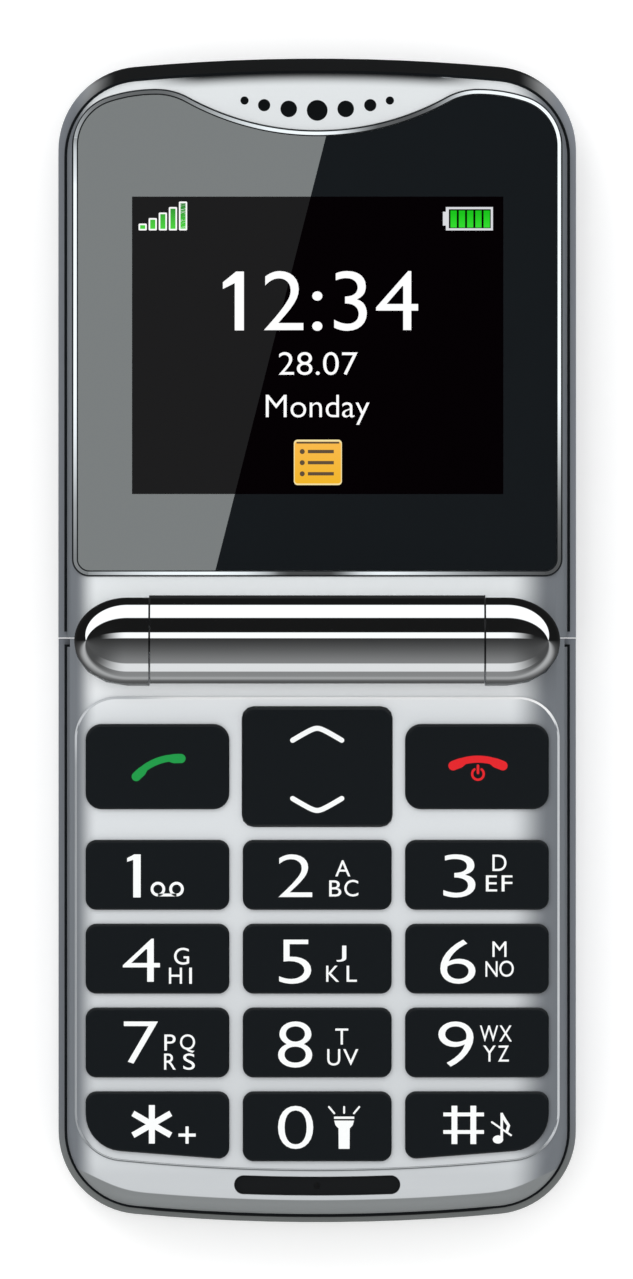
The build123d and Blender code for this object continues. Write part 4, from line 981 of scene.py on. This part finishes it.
row_foot_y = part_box("key_0")[0].y + key_flange
row_half = (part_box("key_5")[1].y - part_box("key_5")[0].y) / 2 - key_flange
lip_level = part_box("base_front_cover")[1].z + 0.004 * MM
lip_points, lip_faces, lip_count = [], [], 0
for name in ["call", "nav", "end"] + [str(n) for n in range(1, 10)] + ["star", "0", "hash"]:
    corners, radii = key_corners(name)
    outline, normals = rounded(corners, radii)
    foot_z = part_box("key_" + name)[0].z + foot_lift
    top_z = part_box("key_" + name)[1].z
    cap = surface("keycap_" + name, keycap(outline, normals, foot_z, top_z), "key_" + name, key_black, close=True)
    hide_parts("key_" + name)
    if name != "nav":
        n = np.arange(len(outline))
        nxt = (n + 1) % len(outline)
        lip_points += [outline + normals * lip_outer, outline + normals * lip_inner]
        lip_faces += (lip_count + np.stack([n, nxt, nxt + len(outline), n + len(outline)], -1)).tolist()
        lip_count += 2 * len(outline)
    x = (corners[0][0] + corners[1][0]) / 2
    y = (corners[0][1] + corners[2][1]) / 2 if name in own_middle else corners[2][1] - row_half
    letters = [letter(figure, dx, dy, width, height, digit_weight if figure.isdigit() else letter_weight)
               for figure, dx, dy, width, height in glyphs.get(name, ())]
    if name == "1":
        letters += [hoop(reel_x, tape_y, reel, 0.30) for reel_x in reels_x]
    plate("legend_" + name, signs.get(name, []), (x, y), top_z + ink_lift, "key_" + name, inks.get(name, key_ink),
          letters, ink_film)

lip_corners = np.concatenate(lip_points)
lip_corners = np.column_stack([lip_corners, np.full(len(lip_corners), lip_level)])
lips = lay_out("key_lips", lip_corners, lip_faces, base_silver)
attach(lips, "base")

# ---- Microphone slot -------------------------------------------------------
# A black moulded insert, pressed into a slot at the foot of the base. A pinhole in it leads to the microphone.
# The slot is cut in the front casing.
slot_black = finish("black_insert", srgb("111417"), 0.5, specular=0.25, grain=2500.0)
dress(slot_black, "mic_insert")

# ---- Charging socket, torch and screws -------------------------------------
# Stock parts: a folded steel socket shell, a clear torch lens, steel screws and other small metal parts. Most of
# them are out of sight.
steel = finish("bright_steel", (0.62, 0.63, 0.64, 1.0), 0.3, metallic=1.0, grain=1200.0)
dress(steel, "usb_socket", "base_screws", "lid_screws", "dome_switches", "shield_cans", "sim_holder",
      "vibration_motor", "magnet")
clear = finish("clear_lens", (0.8, 0.84, 0.88, 1.0), 0.1, grain=500.0)
dress(clear, "torch_lens")

# ---- Inner parts -----------------------------------------------------------
# What the casings hide: green boards, the battery, a moulded silicone keypad mat, the speakers, the working parts
# of the hinge, and the film of the flex cable and the antenna.
board_green = finish("board_green", (0.02, 0.12, 0.05, 1.0), 0.5)
dress(board_green, "main_board", "lid_board")
inner_black = finish("inner_black", (0.015, 0.016, 0.018, 1.0), 0.6)
dress(inner_black, "loudspeaker", "earpiece", "earpiece_mesh", "battery_contacts", "battery", "microphone",
      "hinge_cam_module", "hinge_shaft", "hinge_bushing")
silicone = finish("grey_silicone", (0.4, 0.42, 0.44, 1.0), 0.6)
dress(silicone, "keypad_mat")
amber = finish("amber_film", (0.45, 0.18, 0.03, 1.0), 0.4)
dress(amber, "flex_cable_base", "flex_cable_lid", "antenna")

# ---- Raised field ----------------------------------------------------------
# The edge of the raised keypad field is a narrow bevel, moulded with the casing. Its paint carries a painted
# highlight along the top, and painted shade on the left and at the foot.
field_low_y = -56.66 * MM
field_high_y = -6.17 * MM
field_half_width = 25.8 * MM
field_corner = 4.3 * MM
field_foot_corner = 5.15 * MM
field_foot_arc = 210 * MM
casing_half_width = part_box("base_front_cover")[1].x
casing_round = 2.4 * MM
field_step = 0.25 * MM
top_rise = 0.2 * MM                  # the bevel is this much flatter along the top


def casing_drop(points):
    """How far the casing's rounded side has fallen below its flat front at each point: R - sqrt(R^2 - d^2), with d
    the distance past the start of the rounding."""
    past = (np.abs(points[:, 0]) - (casing_half_width - casing_round)).clip(0, casing_round * 0.999)
    return casing_round - np.sqrt(casing_round**2 - past**2)


foot_turn = asin((field_half_width - field_foot_corner) / (field_foot_arc - field_foot_corner))
foot_mid_y = field_low_y + field_foot_arc - (field_foot_arc - field_foot_corner) * cos(foot_turn)
field_moves = [(None, field_half_width - field_corner), (field_corner, -pi / 2),
               (None, field_high_y - field_corner - foot_mid_y), (field_foot_corner, foot_turn - pi / 2),
               (field_foot_arc, -foot_turn)]
field_points, field_normals = both_halves(*walk((0, field_high_y), 0, field_moves))
bevel_out = np.array([0.16, 0.13, -0.08, -0.16]) * MM
bevel_rise = np.array([-0.10 * MM, 0.03 * MM, field_step + 0.03 * MM, field_step - 0.08 * MM])
bevel_levels = front_z + bevel_rise[None, :] - casing_drop(field_points)[:, None]
bevel_levels[:, 1] += top_rise * ((field_normals[:, 1] - 0.2) / 0.6).clip(0, 1)
bevel_grid = band(field_points, field_normals, bevel_out, bevel_levels)
bevel_light_and_shade = finish("silver_bevel", srgb("ced2d6"), 0.35, grain=3000.0, spread=0.02)
# Painted shade on the left, a painted highlight along the top, and painted shade at the foot.
layer(bevel_light_and_shade, "9da1a5", fade(bevel_light_and_shade, "X", -20, -24))
layer(bevel_light_and_shade, "fafbfc", fade(bevel_light_and_shade, "Y", -10, -7))
layer(bevel_light_and_shade, "c2c6ca", join("MULTIPLY", fade(bevel_light_and_shade, "X", -14, -21), fade(bevel_light_and_shade, "Y", -14, -10)))
layer(bevel_light_and_shade, "75797b", fade(bevel_light_and_shade, "Y", -52.5, -55.5))
surface("field_bevel", bevel_grid, "base", bevel_light_and_shade, close=True, sharp=60)

# ---- Reflections -----------------------------------------------------------
# Polished pieces mirror the studio, not the phone itself. This comes last, so that every piece above is covered.
for piece in bpy.context.scene.objects:
    if piece.type == "MESH" and piece.visible_camera:
        piece.visible_glossy = False
